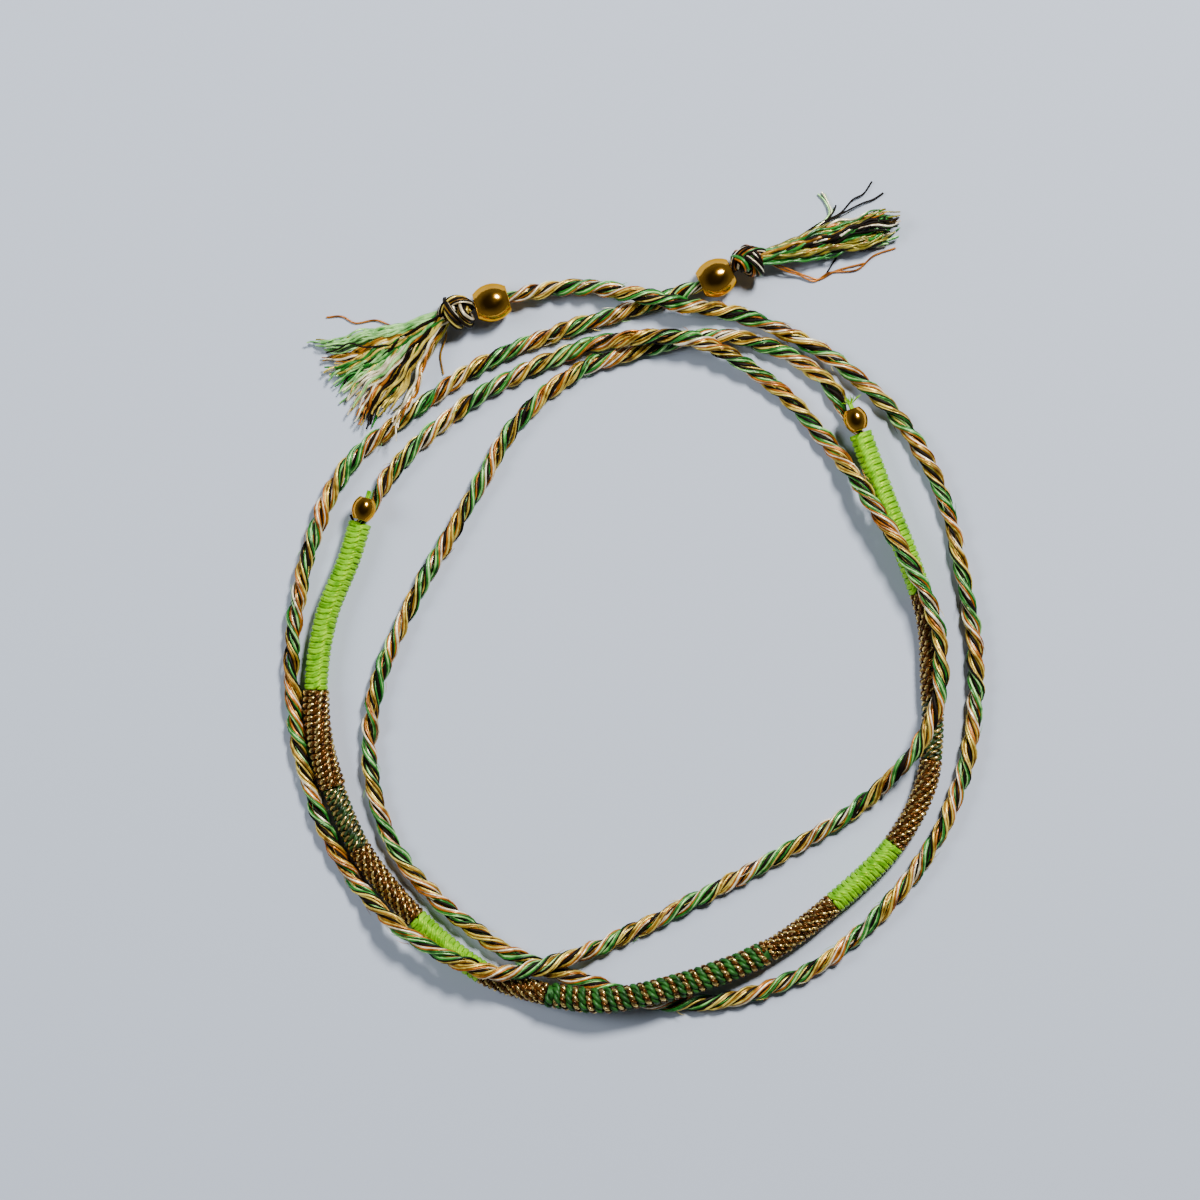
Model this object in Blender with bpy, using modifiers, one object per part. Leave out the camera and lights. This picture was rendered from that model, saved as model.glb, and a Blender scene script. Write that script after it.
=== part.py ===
"""Wrap bracelet: a twisted cord laid down in three turns, with a thread-wound middle length
and a brass bead, a knot and a tassel at each end.

Metres, +Z up. The bracelet lies on the plane z = 0. Seen from above, +X is right and +Y is up.
Routes and tips are written in millimetres and scaled by MM where they are read.
"""

import math

import bmesh
import bpy
from mathutils import Vector

MM = 0.001

# Clearances
SEAT_GAP = 0.3 * MM
CROSSING_GAP = 0.3 * MM
TABLE_CLEARANCE = 0.05 * MM
WRAP_ENTRY_DROP = 0.12 * MM

# Cord: 8 sides, and a ring of points every two diameters
CORD_DIAMETER = 1.6 * MM
CORD_IN_BEAD_DIAMETER = 1.1 * MM
CORD_AT_WRAP_DIAMETER = 0.8 * MM
CORD_SPACING = 3.45 * MM
CORD_BEVEL_RESOLUTION = 2
BEAD_TAPER_LENGTH = 4.0 * MM
WRAP_TAPER_LENGTH = 3.0 * MM
CORD_GATHERED_LENGTH = 3.4 * MM
CORD_IN_WRAP_LENGTH = 0.6 * MM

# Wound length: a core inside thread bands of several thicknesses
CORE_DIAMETER = 0.9 * MM
CORE_CLEARANCE = 0.4 * MM
WRAP_SPACING = 2.9 * MM
WRAP_BEVEL_RESOLUTION = 3
NEON_DIAMETER = 2.5 * MM
GOLD_DIAMETER = 2.45 * MM
THICK_GOLD_DIAMETER = 2.8 * MM
DARK_DIAMETER = 2.4 * MM
GREEN_DIAMETER = 2.7 * MM

# Large beads: polished barrels with flat ends, drilled for the cord
LARGE_BEAD_DIAMETER = 4.0 * MM
LARGE_BEAD_LENGTH = 3.6 * MM
LARGE_BEAD_END_DIAMETER = 2.6 * MM
LARGE_BEAD_ARC_STEPS = 7

# Small beads, each strung on the end of the neon thread beside the cord
SMALL_BEAD_DIAMETER = 2.5 * MM
SMALL_BEAD_LENGTH = 2.4 * MM
SMALL_BEAD_END_DIAMETER = 1.5 * MM
SMALL_BEAD_ARC_STEPS = 6
BEAD_THREAD_DIAMETER = 0.5 * MM
BEAD_THREAD_TUFT = 0.9 * MM
BEAD_LEAD = 2.0 * MM
BEAD_SIDES = 16

# Knots: slanted turns of the cord on a hub
KNOT_TURNS = 3
KNOT_TURN_PITCH = 0.85 * MM
KNOT_TURN_RADIUS = 1.15 * MM
KNOT_STRAND_DIAMETER = 1.36 * MM
KNOT_HUB_DIAMETER = 1.9 * MM
KNOT_SLANT = math.radians(24)
KNOT_TURN_SEGMENTS = 14
KNOT_STRAND_SEGMENTS = 8

# Tassels: locks fused to a short head
LOCK_DIAMETER = 1.1 * MM
LOCK_ROOT_DIAMETER = 0.75 * MM
LOCK_TIP_DIAMETER = 0.8 * MM
TASSEL_HEAD_DIAMETER = 1.5 * MM
TASSEL_HEAD_LENGTH = 1.8 * MM
LOCK_RINGS = 7

# What each named height of a route means is worked out below from the sizes above
CORD_ROUTE_LEFT_BEAD = (
    (-15.5, 31.6, "bead"), (-11.8, 32.6, "bead"), (-7.9, 33.5, "droop"), (-3.5, 33.7, "low"),
    (1.8, 32.8, "over cord"), (6.0, 31.9, "over cord"), (12.3, 30.8, "table"),
    (20.7, 27.1, "table"), (26.5, 22.5, "table"), (30.5, 18.0, "table"), (33.6, 11.7, "table"),
    (35.7, 3.5, "table"), (37.1, -6.0, "table"), (36.4, -14.9, "table"), (33.4, -23.4, "table"),
    (28.1, -30.9, "table"), (21.3, -37.0, "table"), (13.4, -40.6, "table"), (6.0, -41.6, "table"),
    (1.8, -41.1, "table"), (-2.4, -39.7, "table"), (-7.5, -38.0, "table"), (-12.1, -36.1, "table"),
    (-18.2, -31.8, "table"), (-23.5, -26.0, "table"), (-26.3, -18.6, "table"),
    (-26.2, -9.7, "table"), (-22.6, -0.2, "table"), (-18.6, 7.0, "table"), (-14.3, 14.3, "table"),
    (-11.6, 19.0, "table"), (-7.7, 22.9, "table"), (-3.5, 25.5, "table"), (2.3, 27.2, "table"),
    (7.1, 28.4, "table"), (11.3, 28.6, "table"), (17.6, 26.5, "table"), (22.0, 23.1, "table"),
    (23.6, 19.7, "under bead"), (24.9, 18.4, "into wrap"),
)
CORD_ROUTE_RIGHT_BEAD = (
    (-27.6, 9.0, "into wrap"), (-26.5, 10.1, "under bead"), (-25.2, 13.1, "table"),
    (-18.2, 20.2, "table"), (-12.9, 23.6, "table"), (-7.2, 26.3, "table"), (-1.9, 28.0, "low"),
    (2.3, 28.4, "over cord"), (6.2, 28.4, "over cord"), (10.2, 27.1, "half"), (16.0, 23.3, "table"),
    (21.3, 17.7, "table"), (25.8, 11.4, "beside wrap"), (29.7, 5.2, "over wrap"),
    (32.3, -0.1, "over wrap"), (33.3, -5.7, "over wrap"), (32.6, -10.9, "over wrap"),
    (30.4, -15.1, "beside wrap"), (24.9, -20.7, "table"), (16.5, -25.9, "table"),
    (-1.4, -35.1, "table"), (-6.1, -36.8, "half"), (-9.8, -37.8, "beside wrap"),
    (-13.5, -38.2, "over wrap"), (-17.7, -36.8, "over wrap"), (-22.9, -33.9, "beside wrap"),
    (-28.2, -28.6, "table"), (-31.9, -21.8, "table"), (-34.2, -13.4, "table"),
    (-34.8, -4.4, "table"), (-33.4, 4.4, "table"), (-30.7, 12.1, "table"), (-27.7, 16.3, "table"),
    (-21.9, 20.8, "table"), (-15.1, 25.5, "table"), (-7.2, 28.9, "table"), (0.7, 31.3, "table"),
    (4.7, 32.6, "table"), (8.3, 34.0, "bead"), (11.4, 35.4, "bead"),
)
WRAP_ROUTE = (
    (-27.6, 9.0, "wrap"), (-28.8, 5.1, "wrap"), (-31.1, -0.7, "wrap"), (-32.2, -7.6, "wrap"),
    (-31.8, -13.9, "wrap"), (-30.1, -19.7, "wrap"), (-27.5, -25.5, "wrap"), (-23.7, -30.5, "wrap"),
    (-19.3, -34.9, "wrap"), (-14.5, -38.4, "wrap"), (-10.8, -39.8, "wrap"),
    (-7.2, -40.6, "wrap rising"), (-2.0, -41.1, "wrap over cord"), (2.8, -40.3, "wrap over cord"),
    (8.1, -38.9, "wrap rising"), (15.3, -36.0, "wrap"), (22.1, -31.0, "wrap"),
    (28.4, -24.9, "wrap"), (31.8, -18.6, "wrap"), (32.5, -13.4, "wrap"), (32.4, -7.6, "wrap"),
    (32.0, -1.2, "wrap"), (30.0, 5.1, "wrap"), (27.4, 11.7, "wrap"), (24.9, 18.4, "wrap"),
)

# name, length, diameter, finish: the bands in order from the left small bead
WRAP_BANDS = (
    ("neon", 18.3 * MM, NEON_DIAMETER, "neon thread"),
    ("gold", 10.5 * MM, THICK_GOLD_DIAMETER, "brown gold thread"),
    ("dark", 6.9 * MM, DARK_DIAMETER, "dark thread"),
    ("gold", 9.5 * MM, GOLD_DIAMETER, "brown gold thread"),
    ("neon", 9.0 * MM, NEON_DIAMETER, "neon thread"),
    ("gold", 7.3 * MM, GOLD_DIAMETER, "brown gold thread"),
    ("green", 24.4 * MM, GREEN_DIAMETER, "green thread"),
    ("gold", 8.5 * MM, GOLD_DIAMETER, "brown gold thread"),
    ("neon", 8.8 * MM, NEON_DIAMETER, "neon thread"),
    ("gold", 9.9 * MM, GOLD_DIAMETER, "brown gold thread"),
    ("dark", 6.2 * MM, DARK_DIAMETER, "dark thread"),
    ("gold", 11.5 * MM, GOLD_DIAMETER, "brown gold thread"),
    ("neon", 17.9 * MM, NEON_DIAMETER, "neon thread"),
)

# tip x, tip y, sideways bow as a share of the length, height of the tip, height at the middle
LEFT_TASSEL_LOCKS = (
    (-32.3, 27.9, 0.04, 0.5, 0.7),
    (-31.4, 26.3, 0.03, 0.5, 0.6),
    (-30.7, 25.1, 0.02, 0.5, 0.9),
    (-30.1, 23.8, 0.0, 0.5, 0.6),
    (-29.4, 22.3, -0.02, 0.5, 0.6),
    (-28.6, 21.0, -0.03, 0.5, 0.9),
    (-27.8, 19.9, -0.04, 0.5, 0.6),
    (-26.6, 19.6, -0.03, 0.5, 0.6),
    (-25.2, 20.6, -0.02, 0.5, 0.6),
    (-23.6, 18.6, -0.02, 2.4, 1.6),
)
RIGHT_TASSEL_LOCKS = (
    (27.8, 42.0, 0.07, 0.6, 0.9),
    (27.8, 41.1, 0.04, 0.9, 1.6),
    (28.4, 40.2, 0.01, 0.5, 0.7),
    (27.9, 39.5, -0.03, 0.9, 1.6),
    (28.9, 39.0, -0.06, 0.5, 0.7),
    (26.7, 38.4, -0.09, 0.6, 0.9),
)

# colour, roughness, metallic
FINISHES = {
    "twisted cord": ((0.16, 0.13, 0.05), 0.45, 0.0),
    "neon thread": ((0.42, 0.72, 0.02), 0.55, 0.0),
    "brown gold thread": ((0.20, 0.09, 0.02), 0.40, 0.4),
    "dark thread": ((0.05, 0.05, 0.02), 0.45, 0.2),
    "green thread": ((0.01, 0.16, 0.03), 0.50, 0.0),
    "brass": ((0.70, 0.43, 0.10), 0.18, 1.0),
}


def facet_share(resolution):
    """Distance from a tube's centre to its flats, as a share of its radius."""
    return math.cos(math.pi / tube_sides(resolution))


def tube_sides(resolution):
    return 4 + 2 * resolution


CORD_RADIUS = CORD_DIAMETER / 2
LARGE_BEAD_RADIUS = LARGE_BEAD_DIAMETER / 2
SMALL_BEAD_RADIUS = SMALL_BEAD_DIAMETER / 2
CORE_RADIUS = CORE_DIAMETER / 2
WRAP_BORE_RADIUS = CORE_RADIUS + CORE_CLEARANCE
WRAP_FLAT = facet_share(WRAP_BEVEL_RESOLUTION)
THICKEST_WRAP_RADIUS = max(band[2] for band in WRAP_BANDS) / 2
END_WRAP_RADIUS = NEON_DIAMETER / 2

CORD_REST = CORD_RADIUS * facet_share(CORD_BEVEL_RESOLUTION)
WRAP_REST = THICKEST_WRAP_RADIUS * WRAP_FLAT
WRAP_MOUTH = END_WRAP_RADIUS * WRAP_FLAT
CORD_OVER_CORD = CORD_REST + CORD_DIAMETER + CROSSING_GAP
CORD_OVER_WRAP = WRAP_MOUTH + END_WRAP_RADIUS + CORD_RADIUS + CROSSING_GAP
WRAP_OVER_CORD = CORD_REST + CORD_RADIUS + THICKEST_WRAP_RADIUS + CROSSING_GAP

HEIGHTS = {
    "table": CORD_REST,
    "bead": LARGE_BEAD_RADIUS,
    "droop": 0.5 * (LARGE_BEAD_RADIUS + CORD_REST),
    "low": 2 * CORD_REST,
    "half": 0.25 * CORD_REST + 0.75 * CORD_OVER_CORD,
    "over cord": CORD_OVER_CORD,
    "beside wrap": 0.15 * CORD_REST + 0.85 * CORD_OVER_WRAP,
    "over wrap": CORD_OVER_WRAP,
    "under bead": CORD_AT_WRAP_DIAMETER / 2 + TABLE_CLEARANCE,
    "into wrap": WRAP_MOUTH - WRAP_ENTRY_DROP,
    "wrap": WRAP_REST,
    "wrap rising": 0.5 * (WRAP_REST + WRAP_OVER_CORD),
    "wrap over cord": WRAP_OVER_CORD,
}


def clear_scene():
    for obj in list(bpy.data.objects):
        bpy.data.objects.remove(obj)


def make_collection(name):
    collection = bpy.data.collections.new(name)
    bpy.context.scene.collection.children.link(collection)
    return collection


def make_material(name, finish):
    colour, roughness, metallic = FINISHES[finish]
    material = bpy.data.materials.new(name)
    material.use_nodes = True
    shader = material.node_tree.nodes["Principled BSDF"]
    shader.inputs["Base Color"].default_value = (*colour, 1.0)
    shader.inputs["Roughness"].default_value = roughness
    shader.inputs["Metallic"].default_value = metallic
    return material


def keep(obj, collection, finish=None):
    """Puts the object in one collection and gives it a material of its own."""
    for other in list(obj.users_collection):
        other.objects.unlink(obj)
    collection.objects.link(obj)
    if finish:
        obj.data.materials.clear()
        obj.data.materials.append(make_material(obj.name, finish))
    return obj


def hide_as_helper(obj, helpers):
    keep(obj, helpers)
    obj.hide_render = True
    obj.display_type = "WIRE"
    return obj


def spline_step(before, start, end, after, share):
    """A point of the smooth curve that leaves start and reaches end, with knots by chord length."""
    knots = [0.0]
    for a, b in ((before, start), (start, end), (end, after)):
        knots.append(knots[-1] + math.sqrt((b - a).length))
    at = knots[1] + (knots[2] - knots[1]) * share

    def mix(a, b, low, high):
        return a.lerp(b, (at - low) / (high - low))

    first = mix(before, start, knots[0], knots[1])
    second = mix(start, end, knots[1], knots[2])
    third = mix(end, after, knots[2], knots[3])
    left = mix(first, second, knots[0], knots[2])
    right = mix(second, third, knots[1], knots[3])
    return mix(left, right, knots[1], knots[2])


def smooth_route(route, steps=16):
    """The route's dense curve: a spline in plan, and eased ramps between its heights."""
    plan = [Vector((x * MM, y * MM)) for x, y, _ in route]
    heights = [HEIGHTS[level] for _, _, level in route]
    plan = [2 * plan[0] - plan[1], *plan, 2 * plan[-1] - plan[-2]]
    points = []
    for i in range(len(route) - 1):
        for step in range(steps):
            share = step / steps
            flat = spline_step(*plan[i : i + 4], share)
            ease = (1 - math.cos(math.pi * share)) / 2
            points.append(Vector((*flat, heights[i] + ease * (heights[i + 1] - heights[i]))))
    points.append(Vector((*plan[-2], heights[-1])))
    return points


def distances(points):
    total = [0.0]
    for a, b in zip(points, points[1:]):
        total.append(total[-1] + (b - a).length)
    return total


def point_at(points, totals, distance):
    """The place this far along the dense curve. Past an end, it goes straight on."""
    i = 0
    while i < len(points) - 2 and totals[i + 1] < distance:
        i += 1
    span = totals[i + 1] - totals[i]
    return points[i].lerp(points[i + 1], (distance - totals[i]) / span)


def evenly(points, start, end, spacing):
    """Places from start to end along the dense curve, at most one spacing apart."""
    totals = distances(points)
    count = max(2, math.ceil((end - start) / spacing))
    return [point_at(points, totals, start + (end - start) * i / count) for i in range(count + 1)]


def add_tube(name, points, radii, resolution, capped=True):
    """A round tube along the points, with flats that face straight down."""
    curve = bpy.data.curves.new(name, "CURVE")
    curve.dimensions = "3D"
    curve.twist_mode = "Z_UP"
    curve.bevel_depth = max(radii)
    curve.bevel_resolution = resolution
    curve.use_fill_caps = capped
    spline = curve.splines.new("POLY")
    spline.points.add(len(points) - 1)
    vertex_faces_down = tube_sides(resolution) % 4 == 0
    for target, place, radius in zip(spline.points, points, radii):
        target.co = (*place, 1.0)
        target.radius = radius / curve.bevel_depth
        target.tilt = math.pi / tube_sides(resolution) if vertex_faces_down else 0.0
    spline.use_smooth = True
    obj = bpy.data.objects.new(name, curve)
    bpy.context.scene.collection.objects.link(obj)
    return obj


def to_mesh(obj, name):
    """The curve object as a welded mesh object in the same place."""
    bpy.context.view_layer.update()
    graph = bpy.context.evaluated_depsgraph_get()
    mesh = bpy.data.meshes.new_from_object(obj.evaluated_get(graph))
    made = bmesh.new()
    made.from_mesh(mesh)
    bmesh.ops.remove_doubles(made, verts=made.verts, dist=0.001 * MM)
    made.to_mesh(mesh)
    made.free()
    matrix = obj.matrix_world.copy()
    bpy.data.objects.remove(obj)
    solid = bpy.data.objects.new(name, mesh)
    solid.matrix_world = matrix
    bpy.context.scene.collection.objects.link(solid)
    return solid


def eased(share):
    share = min(max(share, 0.0), 1.0)
    return share * share * (3 - 2 * share)


def cord_radii(points, bead_first):
    """The cord's radius at each place: thinner where it enters the bead and the wrap."""
    totals = distances(points)
    radii = []
    for along in totals:
        back = totals[-1] - along
        from_bead, from_wrap = (along, back) if bead_first else (back, along)
        in_bead = eased((from_bead - LARGE_BEAD_LENGTH) / BEAD_TAPER_LENGTH)
        in_wrap = eased((from_wrap - CORD_GATHERED_LENGTH) / WRAP_TAPER_LENGTH)
        thin = CORD_IN_BEAD_DIAMETER / 2 + in_bead * (CORD_DIAMETER - CORD_IN_BEAD_DIAMETER) / 2
        thick = CORD_AT_WRAP_DIAMETER / 2 + in_wrap * (CORD_DIAMETER - CORD_AT_WRAP_DIAMETER) / 2
        radii.append(min(thin, thick))
    return radii


def add_cord(name, route, bead_first, collection):
    """A cord from its knot, through the bead, to just inside the mouth of the wrap."""
    dense = smooth_route(route)
    total = distances(dense)[-1]
    inside = CORD_IN_WRAP_LENGTH
    start, end = (0.0, total + inside) if bead_first else (-inside, total)
    points = evenly(dense, start, end, CORD_SPACING)
    cord = add_tube(name, points, cord_radii(points, bead_first), CORD_BEVEL_RESOLUTION)
    return keep(cord, collection, "twisted cord")


def wrap_ends(dense):
    """How far along their route the bands start and end: they are centred on it."""
    lengths = sum(band[1] for band in WRAP_BANDS)
    start = (distances(dense)[-1] - lengths) / 2
    return start, start + lengths


def add_wrap(collection):
    """The wound bands, laid end to end along the route, and the core inside them."""
    dense = smooth_route(WRAP_ROUTE)
    start, end = wrap_ends(dense)
    core_inset = CORD_IN_WRAP_LENGTH + SEAT_GAP
    core_points = evenly(dense, start + core_inset, end - core_inset, WRAP_SPACING)
    core_drop = Vector((0, 0, (THICKEST_WRAP_RADIUS - GOLD_DIAMETER / 2) * WRAP_FLAT))
    core_points = [place - core_drop for place in core_points]
    core = add_tube("wrap_core", core_points, [CORE_RADIUS] * len(core_points), CORD_BEVEL_RESOLUTION)
    keep(core, collection, "twisted cord")
    for number, (name, length, diameter, finish) in enumerate(WRAP_BANDS, start=1):
        add_band(f"wrap_{number:02d}_{name}", dense, start, length, diameter / 2, finish, collection)
        start += length


def add_band(name, dense, start, length, radius, finish, collection):
    """One hollow band of wound thread, half a gap short at each end, resting on its flats."""
    points = evenly(dense, start + SEAT_GAP / 2, start + length - SEAT_GAP / 2, WRAP_SPACING)
    drop = Vector((0, 0, (THICKEST_WRAP_RADIUS - radius) * WRAP_FLAT))
    points = [place - drop for place in points]
    tube = add_tube(name + "_skin", points, [radius] * len(points), WRAP_BEVEL_RESOLUTION, False)
    band = to_mesh(tube, name)
    wall = band.modifiers.new("Wall", "SOLIDIFY")
    wall.thickness = radius - WRAP_BORE_RADIUS
    wall.offset = -1.0
    wall.use_even_offset = True
    return keep(band, collection, finish)


def bead_profile(radius, length, end_radius, bore_radius, arc_steps):
    """The outline of a drilled barrel, down its outer side and up its bore."""
    half = length / 2
    bulge = radius - end_radius
    arc_radius = (half * half + bulge * bulge) / (2 * bulge)
    reach = math.asin(half / arc_radius)
    outline = []
    for step in range(arc_steps + 1):
        angle = reach - 2 * reach * step / arc_steps
        across = radius - arc_radius * (1 - math.cos(angle))
        outline.append((across, 0.0, arc_radius * math.sin(angle)))
    outline.append((bore_radius, 0.0, -half))
    outline.append((bore_radius, 0.0, half))
    return outline


def add_bead(name, centre, direction, size, bore_radius, collection):
    """A drilled barrel bead with its bore along the direction."""
    diameter, length, end_diameter, arc_steps = size
    outline = bead_profile(diameter / 2, length, end_diameter / 2, bore_radius, arc_steps)
    profile = bmesh.new()
    corners = [profile.verts.new(corner) for corner in outline]
    for a, b in zip(corners, corners[1:] + corners[:1]):
        profile.edges.new((a, b))
    mesh = bpy.data.meshes.new(name)
    profile.to_mesh(mesh)
    profile.free()
    bead = bpy.data.objects.new(name, mesh)
    turn = bead.modifiers.new("Turn", "SCREW")
    turn.steps = BEAD_SIDES
    turn.render_steps = BEAD_SIDES
    turn.use_merge_vertices = True
    turn.merge_threshold = 0.001 * MM
    bead.location = centre
    bead.rotation_mode = "QUATERNION"
    bead.rotation_quaternion = direction.to_track_quat("Z", "X")
    return keep(bead, collection, "brass")


def add_large_bead(name, route, at_start, collection):
    """A large bead one seat gap from the face of the knot at the end of the route."""
    end, inner = (route[0], route[1]) if at_start else (route[-1], route[-2])
    outward = (Vector((end[0], end[1], 0)) - Vector((inner[0], inner[1], 0))).normalized()
    face = Vector((end[0] * MM, end[1] * MM, LARGE_BEAD_RADIUS))
    centre = face - outward * (LARGE_BEAD_LENGTH / 2)
    size = (LARGE_BEAD_DIAMETER, LARGE_BEAD_LENGTH, LARGE_BEAD_END_DIAMETER, LARGE_BEAD_ARC_STEPS)
    bore_radius = CORD_IN_BEAD_DIAMETER / 2 + SEAT_GAP
    add_bead(name, centre, outward, size, bore_radius, collection)
    return face + outward * SEAT_GAP, outward


def add_small_bead(name, side, at_start, collection):
    """A small bead on a neon thread that leaves the top of the wrap's end wall."""
    dense = smooth_route(WRAP_ROUTE)
    totals = distances(dense)
    start, end = wrap_ends(dense)
    place, lead = (start, BEAD_LEAD) if at_start else (end, -BEAD_LEAD)
    mouth = point_at(dense, totals, place)
    inner = point_at(dense, totals, place + lead)
    outward = Vector((mouth.x - inner.x, mouth.y - inner.y, 0)).normalized()
    seat = Vector((mouth.x, mouth.y, 2 * WRAP_MOUTH))
    centre = seat + outward * (SEAT_GAP + SMALL_BEAD_LENGTH / 2)
    size = (SMALL_BEAD_DIAMETER, SMALL_BEAD_LENGTH, SMALL_BEAD_END_DIAMETER, SMALL_BEAD_ARC_STEPS)
    thread_radius = BEAD_THREAD_DIAMETER / 2
    add_bead(name, centre, outward, size, thread_radius + SEAT_GAP, collection)
    thread_length = SEAT_GAP + SMALL_BEAD_LENGTH + BEAD_THREAD_TUFT
    points = evenly([seat, seat + outward * thread_length], SEAT_GAP, thread_length, MM)
    thread = add_tube(f"bead_thread_{side}", points, [thread_radius] * len(points), 2)
    keep(thread, collection, "neon thread")


def add_knot(name, face, outward, collection, helpers):
    """Slanted turns of cord on a hub, with its face at the bead. Returns its far face."""
    lean = KNOT_TURN_RADIUS * math.sin(KNOT_SLANT) / 2
    half = ((KNOT_TURNS - 1) * KNOT_TURN_PITCH + KNOT_STRAND_DIAMETER) / 2 + lean
    centre = face + outward * half
    heading = math.atan2(outward.y, outward.x)
    bpy.ops.mesh.primitive_cylinder_add(
        vertices=12,
        radius=KNOT_HUB_DIAMETER / 2,
        depth=2 * half,
        location=centre,
        rotation=(0, math.pi / 2, heading),
    )
    knot = bpy.context.object
    knot.name = name
    for turn in range(KNOT_TURNS):
        shift = (turn - (KNOT_TURNS - 1) / 2) * KNOT_TURN_PITCH
        bpy.ops.mesh.primitive_torus_add(
            major_radius=KNOT_TURN_RADIUS,
            minor_radius=KNOT_STRAND_DIAMETER / 2,
            major_segments=KNOT_TURN_SEGMENTS,
            minor_segments=KNOT_STRAND_SEGMENTS,
            location=centre + outward * shift,
            rotation=(0, math.pi / 2, heading + KNOT_SLANT),
        )
        ring = hide_as_helper(bpy.context.object, helpers)
        ring.name = f"{name}_turn_{turn + 1}"
        join = knot.modifiers.new(ring.name, "BOOLEAN")
        join.operation = "UNION"
        join.object = ring
    keep(knot, collection, "twisted cord")
    return face + outward * (2 * half)


def lock_points(root, tip, bow, middle_height):
    """A lock's centreline: a bowed arc in plan that drops from the knot to the table."""
    across = Vector((root.y - tip.y, tip.x - root.x, 0)) * bow
    middle = root.lerp(tip, 0.5) + across
    middle.z = middle_height
    points = []
    for step in range(LOCK_RINGS):
        share = step / (LOCK_RINGS - 1)
        first = root.lerp(middle, share)
        second = middle.lerp(tip, share)
        points.append(first.lerp(second, share))
    return points


def add_tassel(name, face, outward, locks, collection, helpers):
    """A short head at the knot and tapered locks fused to it."""
    head_start = face + outward * SEAT_GAP
    head_end = head_start + outward * TASSEL_HEAD_LENGTH
    head_radius = TASSEL_HEAD_DIAMETER / 2
    head = to_mesh(add_tube(name + "_head", [head_start, head_end], [head_radius] * 2, 2), name)
    bunch = bpy.data.collections.new(name + "_locks")
    helpers.children.link(bunch)
    root = head_start + outward * (TASSEL_HEAD_LENGTH / 3)
    for number, (x, y, bow, tip_height, middle_height) in enumerate(locks, start=1):
        tip = Vector((x, y, tip_height)) * MM
        points = lock_points(root, tip, bow, middle_height * MM)
        radii = []
        for step in range(LOCK_RINGS):
            share = step / (LOCK_RINGS - 1)
            body = LOCK_ROOT_DIAMETER + (LOCK_DIAMETER - LOCK_ROOT_DIAMETER) * eased(2 * share)
            radii.append((body + (LOCK_TIP_DIAMETER - LOCK_DIAMETER) * eased(2 * share - 1)) / 2)
        lock_name = f"{name}_lock_{number:02d}"
        lock = to_mesh(add_tube(lock_name + "_curve", points, radii, 2), lock_name)
        hide_as_helper(lock, bunch)
    join = head.modifiers.new("Locks", "BOOLEAN")
    join.operation = "UNION"
    join.operand_type = "COLLECTION"
    join.collection = bunch
    return keep(head, collection, "twisted cord")


def main():
    clear_scene()
    parts = make_collection("cord_bracelet")
    helpers = make_collection("helpers")
    add_cord("cord_left_bead", CORD_ROUTE_LEFT_BEAD, True, parts)
    add_cord("cord_right_bead", CORD_ROUTE_RIGHT_BEAD, False, parts)
    add_wrap(parts)
    add_small_bead("small_bead_left", "left", True, parts)
    add_small_bead("small_bead_right", "right", False, parts)
    ends = (
        ("left", CORD_ROUTE_LEFT_BEAD, True, LEFT_TASSEL_LOCKS),
        ("right", CORD_ROUTE_RIGHT_BEAD, False, RIGHT_TASSEL_LOCKS),
    )
    for side, route, at_start, locks in ends:
        face, outward = add_large_bead(f"large_bead_{side}", route, at_start, parts)
        far_face = add_knot(f"knot_{side}", face, outward, parts, helpers)
        add_tassel(f"tassel_{side}", far_face, outward, locks, parts, helpers)
    for obj in parts.objects:
        if obj.type == "MESH":
            obj.data.shade_smooth()


main()
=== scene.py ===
"""Cord bracelet: a twisted cord of coloured and metallic threads laid down in three turns, with a
thread-wound middle length, brass beads, a knot and a tassel at each end.

Metres, +Z up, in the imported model's own frame. The bracelet lies on the plane z = 0.
"""

from __future__ import annotations

import logging
import math
import random
from bisect import bisect_right
from collections.abc import Callable, Mapping, Sequence
from dataclasses import dataclass, field
from enum import Enum

import bmesh
import bpy
from mathutils import Matrix, Vector, noise

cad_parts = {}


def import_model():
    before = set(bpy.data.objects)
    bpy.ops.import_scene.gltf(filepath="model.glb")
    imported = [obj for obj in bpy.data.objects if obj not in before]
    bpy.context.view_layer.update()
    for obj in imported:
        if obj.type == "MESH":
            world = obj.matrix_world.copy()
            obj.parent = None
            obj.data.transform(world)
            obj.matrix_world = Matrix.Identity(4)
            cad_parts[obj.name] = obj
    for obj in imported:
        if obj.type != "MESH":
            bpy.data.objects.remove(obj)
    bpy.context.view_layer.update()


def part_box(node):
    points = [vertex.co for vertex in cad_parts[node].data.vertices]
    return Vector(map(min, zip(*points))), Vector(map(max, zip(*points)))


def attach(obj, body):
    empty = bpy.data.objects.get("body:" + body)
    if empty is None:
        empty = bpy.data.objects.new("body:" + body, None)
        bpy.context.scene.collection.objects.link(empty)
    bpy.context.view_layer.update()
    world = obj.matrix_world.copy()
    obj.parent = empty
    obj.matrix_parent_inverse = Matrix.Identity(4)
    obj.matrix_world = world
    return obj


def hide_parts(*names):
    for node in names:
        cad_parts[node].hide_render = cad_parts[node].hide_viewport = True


LOG = logging.getLogger("cord_bracelet")
MM = 0.001
BODY = "root"
UPRIGHT = 0.1
SEED_STEP = 3.7
Colour = tuple[float, float, float]
Route = tuple[tuple[float, float, float], ...]
Values = Mapping[str | int, float | tuple[float, ...]]


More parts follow.
